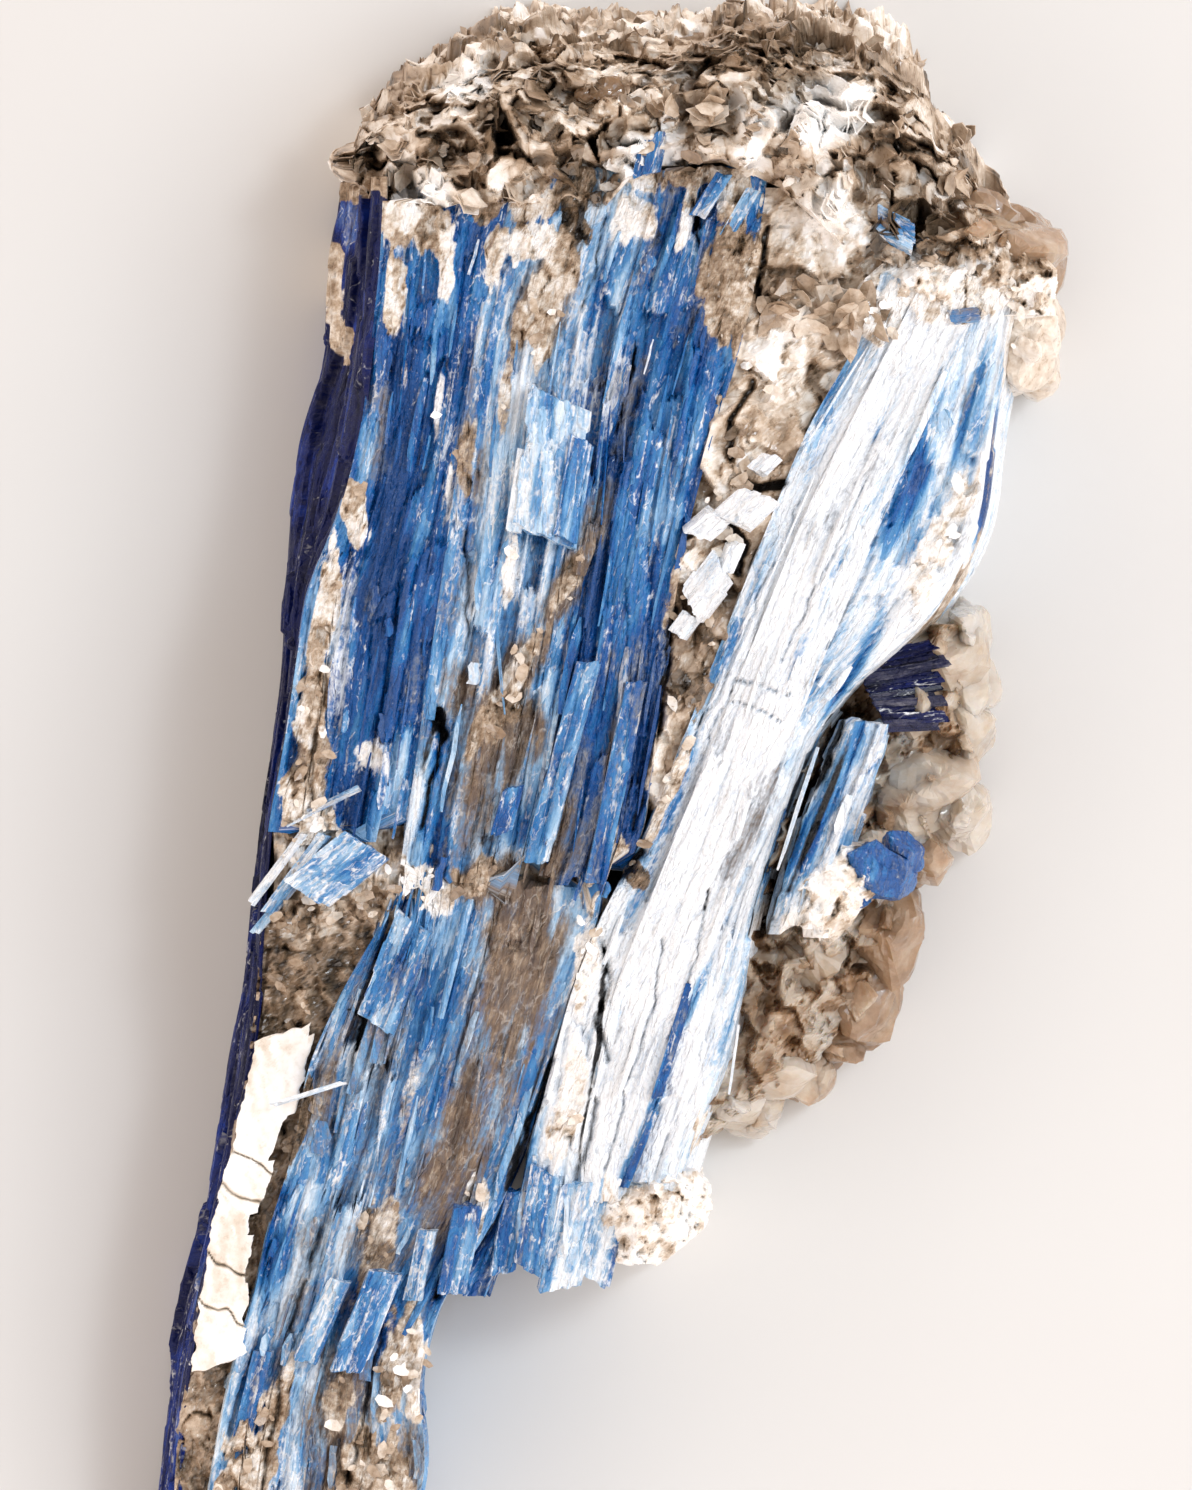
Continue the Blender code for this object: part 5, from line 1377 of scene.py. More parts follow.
def knobs(name, centres, radii, tones, finish, slot, nodes, salt, rows=20, columns=28, more=None):
    """Faceted lumps as one piece. A lump's radius in a direction is a soft minimum, over its flat faces, of
    face distance / cosine of the angle to the face, so flats meet in rounded edges."""
    count = len(centres)
    k = np.arange(count)
    polar = np.linspace(0, np.pi, rows)[:, None]
    round_ = np.linspace(0, 2 * np.pi, columns, endpoint=False)
    way = [np.sin(polar) * np.cos(round_), np.sin(polar) * np.sin(round_), np.cos(polar) + 0 * round_]
    way = np.stack(way, axis=-1)
    inverse = np.full((count, rows, columns), (1 / 1.25) ** SHARPNESS)
    for face in range(FACES_EACH):
        high = 2 * chance(k, face, salt) - 1
        turn = 2 * np.pi * chance(k, face, salt + 1)
        flat = np.sqrt(1 - high**2)
        normal = np.stack([flat * np.cos(turn), flat * np.sin(turn), high], -1)
        cosine = np.einsum("rck,nk->nrc", way, normal)
        away = 0.72 + 0.3 * chance(k, face, salt + 2)
        inverse = inverse + (np.maximum(cosine, 0) / away[:, None, None]) ** SHARPNESS
    radius = inverse ** (-1 / SHARPNESS)
    points = centres[:, None, None] + radius[..., None] * way * radii[:, None, None]
    x, y, z = (points[..., axis] for axis in range(3))
    rough = 0.7 * (folds(x / 3.4 + z / 4, y / 3.4, salt + 3) - 0.6)
    rough = rough + 0.14 * cloud(x / 0.9 + z / 1.1, y / 0.9, salt + 7)
    points = points + rough[..., None] * way
    points[:, 0], points[:, -1] = points[:, :1].mean(2), points[:, -1:].mean(2)
    number = np.arange(rows * columns).reshape(rows, columns)
    beside = np.roll(number, -1, axis=1)
    quads = np.stack([number[:-1], number[1:], beside[1:], beside[:-1]], -1)[1:-1].reshape(-1, 4)
    tris = np.concatenate([
        np.stack([0 * number[0] + number[0, 0], number[1], beside[1]], -1),
        np.stack([0 * number[-1] + number[-1, 0], beside[-2], number[-2]], -1),
    ])
    keep = np.ones((rows, columns), bool)
    keep[0, 1:] = keep[-1, 1:] = False
    new_number = np.cumsum(keep.ravel()) - 1
    per = int(keep.sum())
    first = (k * per)[:, None, None]
    points = points.reshape(count, -1, 3)[:, keep.ravel()].reshape(-1, 3)
    faces = [(first + new_number[quads]).reshape(-1, 4), (first + new_number[tris]).reshape(-1, 3)]
    fields = {"tone": np.repeat(tones, per), "lath_place": points}
    fields.update({key: np.full(len(points), value) for key, value in (more or {}).items()})
    return put_mesh(name, points, faces, finish, nodes, fields)


def lump_field(rows):
    """Lumps from (x, y, z, rx, ry, rz, tone) rows, with a small one grown on each. Each lump is a pair: the
    upper one has 0.36 of the height as its half height, and the lower one stands on the floor beside it."""
    rows = np.array(rows, float)
    k = np.arange(len(rows))
    turn, high = 2 * np.pi * chance(k, 0, 77), 0.2 + 0.7 * chance(k, 0, 78)
    off = np.stack([np.cos(turn) * (1 - high), np.sin(turn) * (1 - high), high], -1) * rows[:, 3:6] * 0.9
    size = rows[:, 3:6] * (0.3 + 0.25 * chance(k, 0, 79))[:, None]
    tone = rows[:, 6:] + 0.3 * (chance(k, 0, 80) - 0.5)[:, None]
    rows = np.vstack([rows, np.hstack([rows[:, :3] + off, size, tone])])
    k = np.arange(len(rows))
    peak = rows[:, 2] + rows[:, 5]
    upper, lower = rows.copy(), rows.copy()
    upper[:, 5] = 0.36 * peak
    upper[:, 2] = peak - upper[:, 5]
    lower[:, 5] = 0.34 * peak * (0.8 + 0.4 * chance(k, 1, 81))
    lower[:, 2] = lower[:, 5] * 0.9
    lower[:, 0] += 1.6 * (chance(k, 2, 81) - 0.5)
    lower[:, 1] += 3.0 * (chance(k, 3, 81) - 0.5)
    lower[:, 6] += 0.3 * (chance(k, 4, 81) - 0.6)
    rows = np.vstack([upper, lower])
    return rows[:, :3], rows[:, 3:6], rows[:, 6]


# %% The lumps of the right flank, as (x, y, z, three half sizes, tone)
QUARTZ = {
    "upper_quartz_lumps": ("upper_quartz_knob", [
        (33.6, 9.6, 10, 4.6, 4.6, 8, 0.66), (31.6, 4.6, 10, 3.4, 4.2, 8, 0.5), (36.6, 6, 8, 3.2, 3.8, 6.6, 0.74),
        (37.2, 1.6, 8, 2.8, 3.0, 7, 0.7), (37.2, 12, 9, 2.0, 2.8, 7, 0.8),
    ]),
    "middle_quartz_lumps": ("middle_quartz_knob", [
        (33.6, -3, 10, 4.2, 4.4, 7.5, 0.66), (36, -6.4, 7, 2.8, 3.4, 6, 0.74), (30.6, -6, 10, 3.6, 3.8, 7.5, 0.6),
        (28, -11, 9, 3.2, 3.2, 7.5, 0.7), (33, -11, 7, 2.8, 3.0, 6, 0.5),
    ]),
    "smoky_quartz_lumps": ("smoky_quartz", [
        (28.6, -18, 9, 3.4, 5.4, 7.5, 0.42), (26, -25, 7, 3.6, 4.4, 6.5, 0.38), (21.6, -20, 10, 4.0, 4.6, 7, 0.66),
        (18.6, -25.6, 8, 3.6, 4.0, 6.8, 0.72), (24, -29.4, 5, 2.8, 2.8, 5, 0.36),
    ]),
    "quartz_toe_lumps": ("quartz_toe", [
        (17.5, -31, 6, 4.2, 3.8, 6.4, 0.74), (14, -35.4, 6, 3.2, 3.4, 6, 0.78),
        (20.4, -33, 4.5, 2.8, 2.6, 4.8, 0.58), (16.2, -36.6, 4, 2.4, 2, 4, 0.66),
    ]),
    "corner_quartz_lumps": ("corner_quartz_block", [
        (41, 49.6, 16, 5, 5.4, 8.4, 0.5), (37.6, 52.4, 14, 5, 3.4, 9, 0.38), (36, 50.6, 19, 3.6, 2.6, 6.4, 0.48),
    ]),
}
for name, (cad_node, rows) in QUARTZ.items():
    knobs(name, *lump_field(rows), honey_quartz, "quartz", [cad_node], 1600 + len(name))

# %% [markdown]
# ## The rock between the lumps
# The lumps don't stand by themselves: beige quartz fills the space between them and the pale blades. More
# lumps could fill it, but they would leave gaps. It is a crumpled skin like the other crusts, from the blades
# out to the flank's edge, lower than the lumps.

# %% Rock under the quartz lumps
LINES["flank_edge"] = [
    (-40, 10.6), (-38.5, 12), (-36, 16.4), (-32.5, 20.6), (-31, 24), (-29, 25.6), (-25, 27.4), (-21.5, 28.8),
    (-14.5, 31), (-11.5, 34.2), (-6.5, 35), (-3, 36.4), (2.5, 38.4), (5, 38.6), (8, 37), (13, 38),
]
QUARTZ_TOP = [(-40, 10), (-34, 13.4), (-24, 15.4), (-12, 16.6), (0, 16.4), (8, 16.6), (13, 17.4)]


def quartz_rock(name, low, high, salt):
    """The crust between the blades' outer line and the flank's edge: high by the blades, and falling by a
    third outwards as the square of the way."""
    levels = np.linspace(low, high, int((high - low) / 0.3))
    start = line_x("pale_outer", levels) - 1.2
    end = line_x("flank_edge", levels) - 1.0 + 0.9 * cloud(levels / 2.2, 3, salt)

    def top(x, y):
        inner, outer = line_x("pale_outer", y), line_x("flank_edge", y)
        way = np.clip((x - inner) / np.maximum(outer - inner, 1.0), 0, 1)
        return along_knots(QUARTZ_TOP, y) * (1 - 0.34 * way**2) + 1.6 * cloud(x / 3.2, y / 3.2, salt + 4, 3)

    return rock_skin(name, [], levels, start, end, top, honey_quartz, "quartz", salt, 0.6,
                     fold=1.8, size=4.0, foot=0.3, leafy=0.4)


quartz_rock("quartz_between_lumps", -39, 12.6, 2900)

# %% [markdown]
# ## The silvery plate and the white crust across the groove
# Muscovite lies beside the flank as one thin cleavage plate with a crooked outline. It could be cut from a flat
# plane, but its surface waves and is cracked across, so it is a flat tube of rings. The crust across the groove
# is crumpled mica, and white scales lie on it.

# %% The plate and the crust across the groove
PLATE_RIGHT = [(-60.2, -36.2), (-51, -35.4), (-46, -34.6), (-42, -33.2), (-36, -30.6), (-32, -29.4), (-28.4, -28.6)]
PLATE_LEFT = [(-59.5, -41.0), (-53, -40.2), (-46, -39.0), (-39, -37.0), (-33, -35.4), (-29.5, -34.6)]
PLATE_CRACKS = (-40.8, -44.6, -52.5, -57.4)


def plate_skin(salt=1700):
    """The plate: each ring runs over the top from the left edge to the right one, and back underneath, 0.9 mm
    lower. The cracks cross it in curves, 0.5 mm deep and 0.16 mm wide."""
    level = np.linspace(-28.8, -60, 240)
    notches = chance(np.floor(level / 2.3 + 0.4 * cloud(level, 0, salt)), 0, salt) - 0.5
    right = along_knots(PLATE_RIGHT, level) + 0.9 * notches + 0.4 * cloud(level / 1.2, 0, salt)
    left = along_knots(PLATE_LEFT, level) + 0.35 * cloud(level / 1.2, 9, salt)
    share = np.linspace(0, 1, 26)
    side = np.concatenate([share, share[::-1]])
    under = np.concatenate([0 * share, 0 * share + 1])
    x = left[:, None] + side * (right - left)[:, None]
    y = level[:, None] + 0 * side
    y = y + 0.32 * (x + 33) + 0.35 * ripple(x / 1.1, level[:, None] / 9, salt + 5)
    z = 19.2 + 0.07 * (y + 44) - 0.9 * under + 0.25 * cloud(x / 4, y / 4, salt + 2) * (1 - under)
    bent = y + 0.5 * (x + 36) + 0.9 * ripple(x / 1.1, y / 3, salt)
    crack = sum(np.exp(-(((bent - at) / 0.16) ** 2)) for at in PLATE_CRACKS)
    rings = np.stack([x, y, z - 0.5 * crack * (1 - under)], axis=-1)
    points, faces = closed_tube(rings, salt, rough=0.2)
    sheet_y, sheet_x = (bent + 0.7 * x) / 3.1, (x + 0.3 * y + 0.3 * ripple(y, 1, salt)) / 1.9
    sheet = chance(np.floor(sheet_y), np.floor(sheet_x), salt + 8)
    tone = 0.72 + 0.2 * cloud(x / 0.9, y / 4, salt + 4) + 0.26 * (sheet - 0.5) - 0.6 * crack
    fields = spread_fields({"tone": tone}, rings, len(points))
    return put_mesh("muscovite_sheet", points, faces, silver_mica, ["muscovite_plate"], fields,
                    smooth=True)


def crossing_top(x, y):
    """Just below the crest, lower by the square of the way from the groove's middle, and lowest at the right."""
    return crest(x, y) - 0.9 - 0.035 * (y + 12.4) ** 2 - 1.8 * soft_step((x + 18) / 3)


plate_skin()
rock_skin("crossing_rock", ["crossing_crust"], np.linspace(-18.4, -7.6, 30), np.full(30, -32.6), np.full(30, 0.8),
          crossing_top, tan_mica, "muscovite", 1800, 0.55, fold=1.4)

# %% [markdown]
# ## Flakes on the crusts
# The skins' crumples are soft, and real mica ends in sharp leaves. So the crusts also carry small scales that
# lie close to the surface and overlap. Their places come from the same ellipses, and a scale is kept only
# where the crust does cover the blade. A scale takes the crust's tone there, so it is seen by its edges.

# %% Flakes where the crusts are
def crust_flakes(name, rows, per_area, finish, salt, size=(0.4, 1.2), unrest=0.42):
    """Scales in twos on the crusts. The radius in an ellipse is the square root of a number from 0 to 1, which
    spreads them evenly, and the angle is any."""
    rows = np.array(rows, float)
    which = np.repeat(np.arange(len(rows)), (per_area * 3.5 * rows[:, 2] * rows[:, 3] * rows[:, 5]).astype(int))
    table = rows[which]
    a, b = scatter(len(which), salt)
    away, round_, turn = 1.1 * np.sqrt(b), 2 * np.pi * a, np.radians(table[:, 4])
    across, along = table[:, 2] * away * np.cos(round_), table[:, 3] * away * np.sin(round_)
    x = table[:, 0] + across * np.cos(turn) + along * np.sin(turn)
    y = table[:, 1] - across * np.sin(turn) + along * np.cos(turn)
    cover, tone, height = crust_at(x, y)
    between_lines = (x > line_x("flank_crest", y) + 0.3) & (x < line_x("pale_outer", np.maximum(y, -44)) - 0.8)
    keep = (cover > 0.5) & between_lines & ((x < -6) | (y > -44)) & (y < 46)
    x, y, tone, height = (v[keep] for v in (x, y, tone, height))
    k = np.arange(len(x))
    tip = np.stack([chance(k // 2, c, salt) - 0.5 for c in (1, 2, 3)], -1)
    facing = np.array([0, 0, 1]) + 1.5 * unrest * tip
    facing[:, 2] = np.abs(facing[:, 2]) + 0.2
    span = size[0] + (size[1] - size[0]) * chance(k, 4, salt) ** 2
    tone = tone + 0.30 * (chance(k, 5, salt) - 0.62)
    z = crest(x, y) + height - 0.1 + 0.35 * chance(k, 6, salt)
    return scales(name, np.stack([x, y, z], -1), unit(facing), span, tone, finish, salt,
                  bend=0.5, thick=0.1, slim=0.6)


crust_flakes("crust_flakes", CRUSTS, 0.35, tan_mica, 2300)

# %% [markdown]
# ## Short crystals
# Some crystals stand out of the blades: a blunt stepped block in the middle, a crossing one at the lower left,
# dark ones on the pale group, white rhombic ones in the tongue. Boxes would do for the form, but their faces
# would be too flat. Each is a bar between two points. Its section has a top of 26 corners, so that laths can
# step in it, and its ends are cut askew.

# %% Bars between two points
def bars(name, rows, finish, salt, nodes=(), relief=0.7):
    """Rows of (x, y, z of one end, x, y, z of the other, width, thickness, roll and cut in degrees, blueness,
    milkiness, staining). A section goes over the top in 26 corners, down a side, along the bottom and up. The
    laths' relief lies on the top, and each column of the ends is broken at a place of its own."""
    rows = np.array(rows, float)
    count = len(rows)
    near, far = rows[:, :3], rows[:, 3:6]
    # Each of these is (bars, 1, 1), to go with values that are (bars, stations, corners).
    width, thick, roll, cut, blueness, milkiness, staining = (rows[:, k, None, None] for k in range(6, 13))
    length = np.linalg.norm(far - near, axis=1)[:, None, None]
    way = unit(far - near)
    side = unit(np.cross(way, [[0, 0, 1.0]]))
    up = np.cross(side, way)
    c, s = np.cos(np.radians(roll[:, 0])), np.sin(np.radians(roll[:, 0]))
    side, up = side * c + up * s, up * c - side * s
    share = np.linspace(-1, 1, 26)
    across = np.concatenate([share, [1.02, 1.0, 0.96], 0.9 * share[::-6], [-0.96, -1.0, -1.02]])
    level = np.concatenate([0 * share + 1, [0.6, 0.0, -0.7], 0 * share[::-6] - 1, [-0.7, 0.0, 0.6]])
    on_top = np.concatenate([0 * share + 1, [0.5, 0.2, 0], 0 * share[::-6], [0, 0.2, 0.5]])
    t = np.linspace(0, 1, 44)[:, None]
    k = np.arange(count)[:, None, None]
    column = np.floor(across * width / 1.1)
    askew = np.tan(np.radians(cut)) * across * width / 2
    starts = 0.5 * chance(column, k, salt) + askew
    stops = length - 0.5 * chance(column, k, salt + 1) + askew
    along = starts + (stops - starts) * t
    narrow = 1 - 0.12 * chance(np.floor(along / 3.1), k, salt + 3) * (np.abs(across) > 0.8)
    a = across * narrow * width / 2
    told = lath_relief(a + 41 * k, along, salt, (0.26 * relief, 0.20 * relief, 0.05 * relief))
    b = level * thick / 2 + on_top * np.clip(told[0], -0.4, 0.5)
    parts = ((along, way), (a, side), (b, up))
    points = sum((value[..., None] * axis[:, None, None] for value, axis in parts), near[:, None, None])
    stations, corners = points.shape[1:3]
    quads, first, last = ring_faces(stations, corners)
    per = stations * corners + 2
    low_fan = np.stack([first, np.full(corners, per - 2), np.roll(first, -1)], -1)
    high_fan = np.stack([last, np.roll(last, -1), np.full(corners, per - 1)], -1)
    hubs = np.stack([points[:, 0].mean(1), points[:, -1].mean(1)], 1)
    grid = np.concatenate([points.reshape(count, -1, 3), hubs], axis=1)
    start = (per * np.arange(count))[:, None, None]
    faces = [(start + quads).reshape(-1, 4), (start + np.concatenate([low_fan, high_fan])).reshape(-1, 3)]

    def carried(values):
        """A value at each corner, with the two hubs' as the means of their rings."""
        values = np.broadcast_to(values, points.shape[:3])
        return np.concatenate([values.reshape(count, -1), values[:, [0, -1]].mean(2)], axis=1).ravel()

    wave = 0.2 * cloud(a / 1.3 + 31 * k, along / 5, salt + 2)
    side_face = 0.2 * (1 - on_top) * (level > 0)
    fields = {
        "blueness": carried(blueness + 0.20 * told[1] + 1.3 * wave),
        "milkiness": carried(milkiness - 0.12 * told[1] + 0.4 * told[2] - 1.2 * wave + side_face),
        "staining": carried(staining + 0.1 * told[1]),
        "darkness": carried(0 * a),
        "lath_place": np.stack([carried(a + 37 * k), carried(along), carried(b)], -1),
    }
    return put_mesh(name, grid.reshape(-1, 3), faces, finish, nodes, fields)


# %% The short crystals
bars("deep_short_crystals", [
    # The blunt stepped block, and the darker piece that fronts it.
    (-4, 35, 26.6, -5.6, 20.9, 27.4, 6.6, 3, 3, -16, 0.32, 0.44, 0.15),
    (-1.8, 31, 27.4, -3.6, 20.6, 28.2, 2.6, 1.6, 8, -14, 0.54, 0.22, 0.12),
    (-7.4, 30, 27.2, -8.6, 21.6, 27.8, 1.6, 1.6, -8, 0, 0.16, 0.6, 0.15),
    # The crossing block at the lower left, with two shards by it.
    (-29.4, -14.6, 24, -23, -9.4, 24.6, 5.2, 3, 5, 20, 0.54, 0.28, 0.1),
    (-33.4, -16.4, 22, -27.4, -8.4, 24, 1.2, 1, 20, 20, 0.47, 0.4, 0.2),
    (-35, -15.4, 21, -29.4, -8, 23.6, 0.9, 0.9, -10, 10, 0.22, 0.7, 0.2),
    (-34.6, -18.4, 20.6, -30.4, -13.4, 22.6, 0.9, 0.8, 10, 10, 0.52, 0.4, 0.3),
    (-31.4, -7.4, 23.6, -24, -3.8, 24.6, 0.8, 0.8, 0, 10, 0.37, 0.6, 0.2),
    # Short deep blue blades at the lower end of the upper group.
    (-1, 9, 26.2, -6.4, -11.4, 25.6, 2.6, 1.8, -6, 12, 0.54, 0.22, 0.2),
    (3.6, 7, 26.2, -0.6, -13.4, 25.4, 2.2, 1.8, 6, 14, 0.62, 0.2, 0.2),
    (-8.6, -3.6, 25.8, -10, -8.6, 25.6, 2, 1.2, 8, 30, 0.77, 0.12, 0.1),
    # The lower limb: a stepped blue block, small deep blue blades, blunt ends.
    (-18.4, -17, 22.6, -22.4, -27.6, 21.6, 4.4, 2.2, -6, -14, 0.52, 0.3, 0.25),
    (-13.2, -45.4, 20, -15, -54.6, 18.4, 3, 2.4, 6, 10, 0.64, 0.24, 0.15),
    (-17.2, -48, 19.8, -18.8, -55.4, 18.6, 2, 1.8, -8, 10, 0.47, 0.4, 0.25),
    (-21.4, -52, 19.4, -25.6, -62.4, 18.2, 3.4, 2, 8, 16, 0.62, 0.3, 0.15),
    (-26, -53, 19.4, -29.6, -61.4, 18.2, 2.4, 1.8, -6, 12, 0.52, 0.35, 0.25),
    (-33.6, -60, 17.2, -37.6, -76, 15, 1.8, 1.6, -12, 6, 0.58, 0.3, 0.2),
    # A deep blue tip in the mica crust, and dark ends under the shoulder.
    (4.6, 57.0, 27.8, 5.6, 61.6, 28.6, 2.2, 2.2, 20, 25, 0.7, 0.15, 0.1),
    (9.6, 53, 27.0, 12.4, 57.4, 27.6, 1.6, 1.2, -10, 20, 0.48, 0.36, 0.2),
    (27.4, 52.6, 26.2, 31.4, 50.6, 26.6, 3, 2.2, 15, 20, 0.58, 0.3, 0.2),
    (12, 50, 26.6, 15.4, 56, 27.8, 1.4, 1.4, 10, 20, 0.42, 0.4, 0.2),
    # On the pale group: the dark lump in white crust, the inset, the toe's blades.
    (34.8, 43, 25, 38, 43.4, 25, 1.4, 0.8, 10, 10, 0.42, 0.3, 0.3),
    (-1.8, -43, 18.4, -4.2, -54, 16.2, 4.4, 3.0, 8, 20, 0.33, 0.5, 0.1),
    (-5.2, -42, 18.4, -7.0, -52.4, 16.4, 3.2, 2.4, -12, -18, 0.46, 0.38, 0.1),
    (1.4, -45, 17.6, -0.6, -53.4, 15.6, 3.2, 2.4, 6, -16, 0.36, 0.5, 0.1),
    (-8.2, -44, 17.8, -10.0, -52.6, 15.8, 2.6, 2.0, 10, 22, 0.54, 0.3, 0.14),
    # The long saturated stripe of the lowest pale blade.
    (9.2, -23, 21.6, 5.6, -35, 20.4, 1.1, 0.7, 4, 10, 0.64, 0.15, 0.1),
    (5.6, -36, 20.2, 2.4, -44, 18.9, 0.9, 0.7, -4, 10, 0.7, 0.15, 0.1),
], glassy_kyanite, 2500)
bars("layered_fan", [
    (25.4 + 0.3 * j, 8.6 - 0.62 * j, 19.4 + 0.30 * j, 33.4 + 1.6 * chance(j, 1, 9), 10.6 - 0.80 * j, 20.4 - 0.3 * j,
     1.3, 0.3, 22 - 4 * j + 14 * (chance(j, 2, 9) - 0.5), 28,
     0.62 + 0.3 * chance(j, 3, 9), 0.05, 0.7 * ((j % 4) > 1))
    for j in range(11)
], navy_kyanite_with_painted_shade, 2600, relief=0.5)
bars("tongue_rhombs", [
    (12.8, 22.4, 26.6, 16.2, 25.4, 27.2, 3.6, 2.6, 24, 28, 0.05, 0.95, 0.0),
    (9.4, 21.4, 26.0, 12.0, 23.6, 26.6, 2.6, 2.2, -22, 24, 0.05, 0.9, 0.1),
    (9.2, 14.2, 25.8, 12.4, 18.4, 26.6, 3.8, 2.6, 16, -24, 0.08, 0.85, 0.1),
    (12.2, 17.6, 26.0, 13.6, 20.8, 26.4, 1.8, 1.6, -26, 20, 0.05, 0.9, 0.1),
    (7.6, 11.2, 25.6, 9.4, 13.6, 26.0, 1.8, 1.6, 20, 20, 0.08, 0.8, 0.2),
    (15.4, 27.4, 26.4, 17.4, 29.4, 26.6, 1.8, 1.4, 30, 20, 0.05, 0.9, 0.1),
], pearly_kyanite, 2700)
bars("white_needle", [(-33.0, -35.6, 21.6, -25.4, -33.2, 22.6, 0.5, 0.4, 10, 30, 0.08, 0.8, 0.0)],
     pearly_kyanite, 2800)

# %% [markdown]
# ## A booklet, a lobe, a grain and a blue lump
# On the upper crust lies a folded booklet of mica, whose leaves overlap like tiles. A white lobe hangs at the
# upper corner, an amber grain of quartz sits in the crust, and a deep-blue lump at the flank. They could be
# sculpted one by one, but the scales and the faceted lumps above already have their forms.

# %% The booklet and the three small lumps
def folded_booklet(count=22, salt=3400):
    """The folded mica booklet: leaves 3 to 4 mm across that overlap like tiles, each turned a little further."""
    k = np.arange(count)
    share = k / (count - 1)

    def own(quality):
        """Each leaf's own number from 0 to 1 for a quality."""
        return chance(k, quality, salt)

    x = 17.6 + 9.6 * share + 0.5 * (own(1) - 0.5)
    y = 42.6 + 1.4 * np.sin(3 * share) + 3.4 * (own(2) - 0.5)
    z = crest(x, y) + 0.1 + 0.7 * own(3)
    facing = unit(np.stack([0.5 * (own(4) - 0.7), -0.5 + 0.5 * (own(5) - 0.5), 0 * x + 1], -1))
    size, tone = 2.2 + 1.3 * own(6), 0.5 + 0.3 * (own(7) - 0.4)
    return scales("folded_booklet", np.stack([x, y, z], -1), facing, size, tone, tan_mica, salt,
                  bend=0.9, thick=0.05, slim=0.5, spin=0.5 - 1.1 * share + 0.4 * own(8), sides=11)


folded_booklet()
WHITE_LOBE = [(43.8, 44.2, 14, 2.8, 4.8, 9, 0.70), (42.8, 40.2, 13, 2.8, 3.6, 9, 0.64)]
knobs("white_lobe", *lump_field(WHITE_LOBE), tan_mica, "muscovite", [], 3500)
knobs("amber_grain", np.array([(0.2, 65.4, 27.4)]), np.array([(2.2, 1.5, 2.0)]), np.array([0.36]),
      honey_quartz, "quartz", [], 3600)
knobs("deep_blue_lump", np.array([(27.6, -12.4, 20.4), (30.4, -10.6, 19.4), (25.2, -14.8, 19.6)]),
      np.array([(3.6, 3.2, 3.2), (2.2, 2.4, 2.6), (1.8, 1.8, 2.2)]), np.full(3, 0.5),
      glassy_kyanite, "deep_blue_kyanite", [], 3000, more={"blueness": 0.78, "milkiness": 0.1, "staining": 0.12})

# %% [markdown]
# ## White crusts over the blades' ends
# Where pale blades end, white crust has grown over the ends and hides them. Scales alone would leave the cut
# ends open to view, so each is a crumpled skin again, domed towards all its sides.

# %% Crust lumps
def crust_lump(name, low, high, start_knots, end_knots, drop, tone, salt):
    """A lump of white crust over the blades' ends: it follows the crest, and falls by drop * share^2 towards
    both ends and both sides."""
    levels = np.linspace(low, high, int((high - low) / 0.22))
    start, end = along_knots(start_knots, levels), along_knots(end_knots, levels)
    middle, half = (low + high) / 2, (high - low) / 2

    def top(x, y):
        left, right = np.interp(y, levels, start), np.interp(y, levels, end)
        side = np.clip((2 * x - left - right) / (right - left), -1, 1)
        return crest(x, np.clip(y, -43, 46)) + 0.9 - drop * (((y - middle) / half) ** 2 + side**2)

    return rock_skin(name, [], levels, start, end, top, tan_mica, "muscovite", salt, tone,
                     fold=1.5, size=2.6, foot=0.4, leafy=0.35)


crust_lump("toe_crust", -51.6, -42.4, [(-51.6, 1.6), (-48, -0.6), (-42.4, 0.4)],
           [(-51.6, 6.4), (-48, 10.4), (-44, 10.8), (-42.4, 9.8)], 2.2, 0.86, 3100)
crust_lump("upper_end_crust", 43.4, 51.0, [(43.4, 25.0), (47, 26.4), (51, 31)],
           [(43.4, 45.4), (48, 45.6), (51, 42.4)], 1.6, 0.88, 3200)
crust_lump("lump_crust", -18.8, -9.6, [(-18.8, 20.4), (-14, 19.8), (-9.6, 23)],
           [(-18.8, 24), (-14, 27.6), (-9.6, 27.4)], 2.0, 0.76, 3300)

# %% [markdown]
# ## Floor, light and camera
# The specimen lies on a matt white board. A soft window light comes from the right, with a small lamp beside it
# that draws the crisper shadows, and a weak fill from the left. Three lamps alone would leave the side walls
# black, so the sky is bright too, above all low down. Towards the top it is dim, and the window's light
# stays the strongest. The camera looks straight down from 1 m.

# %% The board
HALF_BOARD, BOARD_DROP = 1.5, 0.2 * MM

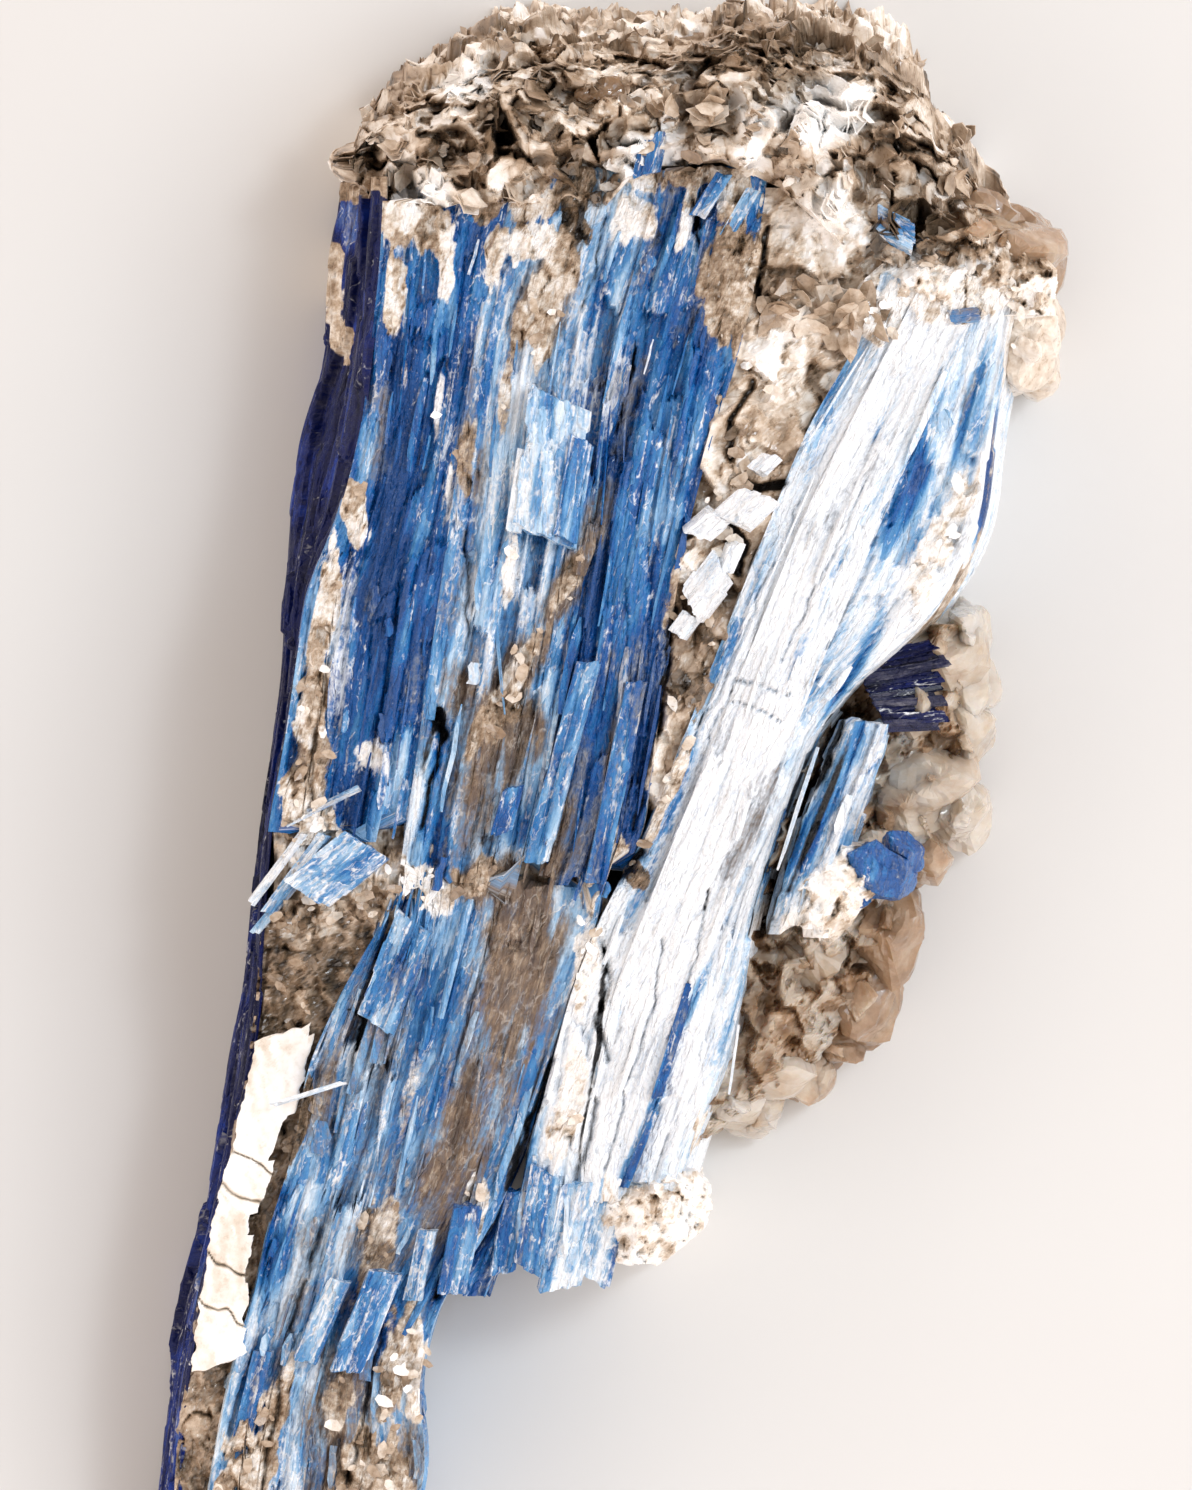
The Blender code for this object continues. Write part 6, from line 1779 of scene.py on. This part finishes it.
floor_mesh = bpy.data.meshes.new("floor")
floor_corners = [(HALF_BOARD * x, HALF_BOARD * y, -BOARD_DROP) for x, y in ((-1, -1), (1, -1), (1, 1), (-1, 1))]
floor_mesh.from_pydata(floor_corners, [], [(0, 1, 2, 3)])
floor = bpy.data.objects.new("floor", floor_mesh)
bpy.context.scene.collection.objects.link(floor)
board, tree, shader = new_material("matt white board")
place = node(tree, "TexCoord").outputs["Object"]
cloudy = node(tree, "TexNoise", Vector=place, Scale=14.0, Detail=2.0).outputs["Fac"]
colour = node(tree, "ValToRGB", {"stops": [(0.3, "#D5D4D2"), (0.7, "#D9D9D7")]}, Fac=cloudy).outputs["Color"]
fill(tree, shader, Base_Color=colour, Roughness=0.9)
floor_mesh.materials.append(board)
print("the board is", 2 * HALF_BOARD, "m wide")


# %% The lamps and the sky
def area_light(name, at, towards, size, power, colour):
    """A square soft light at a place, turned to a point."""
    data = bpy.data.lights.new(name, "AREA")
    data.shape, data.size, data.energy, data.color = "SQUARE", size, power, linear(colour)[:3]
    light = bpy.data.objects.new(name, data)
    bpy.context.scene.collection.objects.link(light)
    light.location = at
    light.rotation_euler = (Vector(towards) - Vector(at)).to_track_quat("-Z", "Y").to_euler()
    return light


lamps = [
    area_light("window", (0.52, 0.15, 0.79), (0, 0, 0), 0.55, 3.75, "#DEEFFF"),
    area_light("lamp", (0.46, 0.27, 0.80), (0, 0, 0), 0.14, 1.4, "#F4F9FF"),
    area_light("fill", (-0.4, -0.5, 0.75), (0, 0, 0), 0.8, 1.0, "#FFEDE0"),
]
world = bpy.data.worlds.new("studio")
bpy.context.scene.world = world
world.use_nodes = True
tree = world.node_tree
height = node(tree, "SeparateXYZ", Vector=node(tree, "TexCoord").outputs["Generated"]).outputs["Z"]
strength = node(tree, "MapRange", {"interpolation_type": "SMOOTHSTEP"}, Value=height,
                From_Min=0.4, From_Max=0.9, To_Min=2.15, To_Max=0.2).outputs[0]
fill(tree, tree.nodes["Background"], Color=linear("#FFF1E8"), Strength=strength)
print("lamps:", [lamp.name for lamp in lamps])

# %% The camera
LENS, SENSOR = 241.6, 36.0  # mm
MIDDLE, CAMERA_HEIGHT = (-0.7 * MM, 6.3 * MM), 1.022

camera_data = bpy.data.cameras.new("camera")
camera_data.lens, camera_data.sensor_width = LENS, SENSOR
camera_data.clip_start, camera_data.clip_end = 0.05, 10.0
camera = bpy.data.objects.new("camera", camera_data)
bpy.context.scene.collection.objects.link(camera)
camera.location = (*MIDDLE, CAMERA_HEIGHT)
bpy.context.scene.camera = camera
bpy.context.scene.view_settings.view_transform = "Standard"
print("the camera stands", CAMERA_HEIGHT, "m over the board")

# %% [markdown]
# ## The triangle count, and the end
# The triangles of all the pieces are added up.

# %% The triangle count, and the end
print("triangles in all:", sum(made.values()))
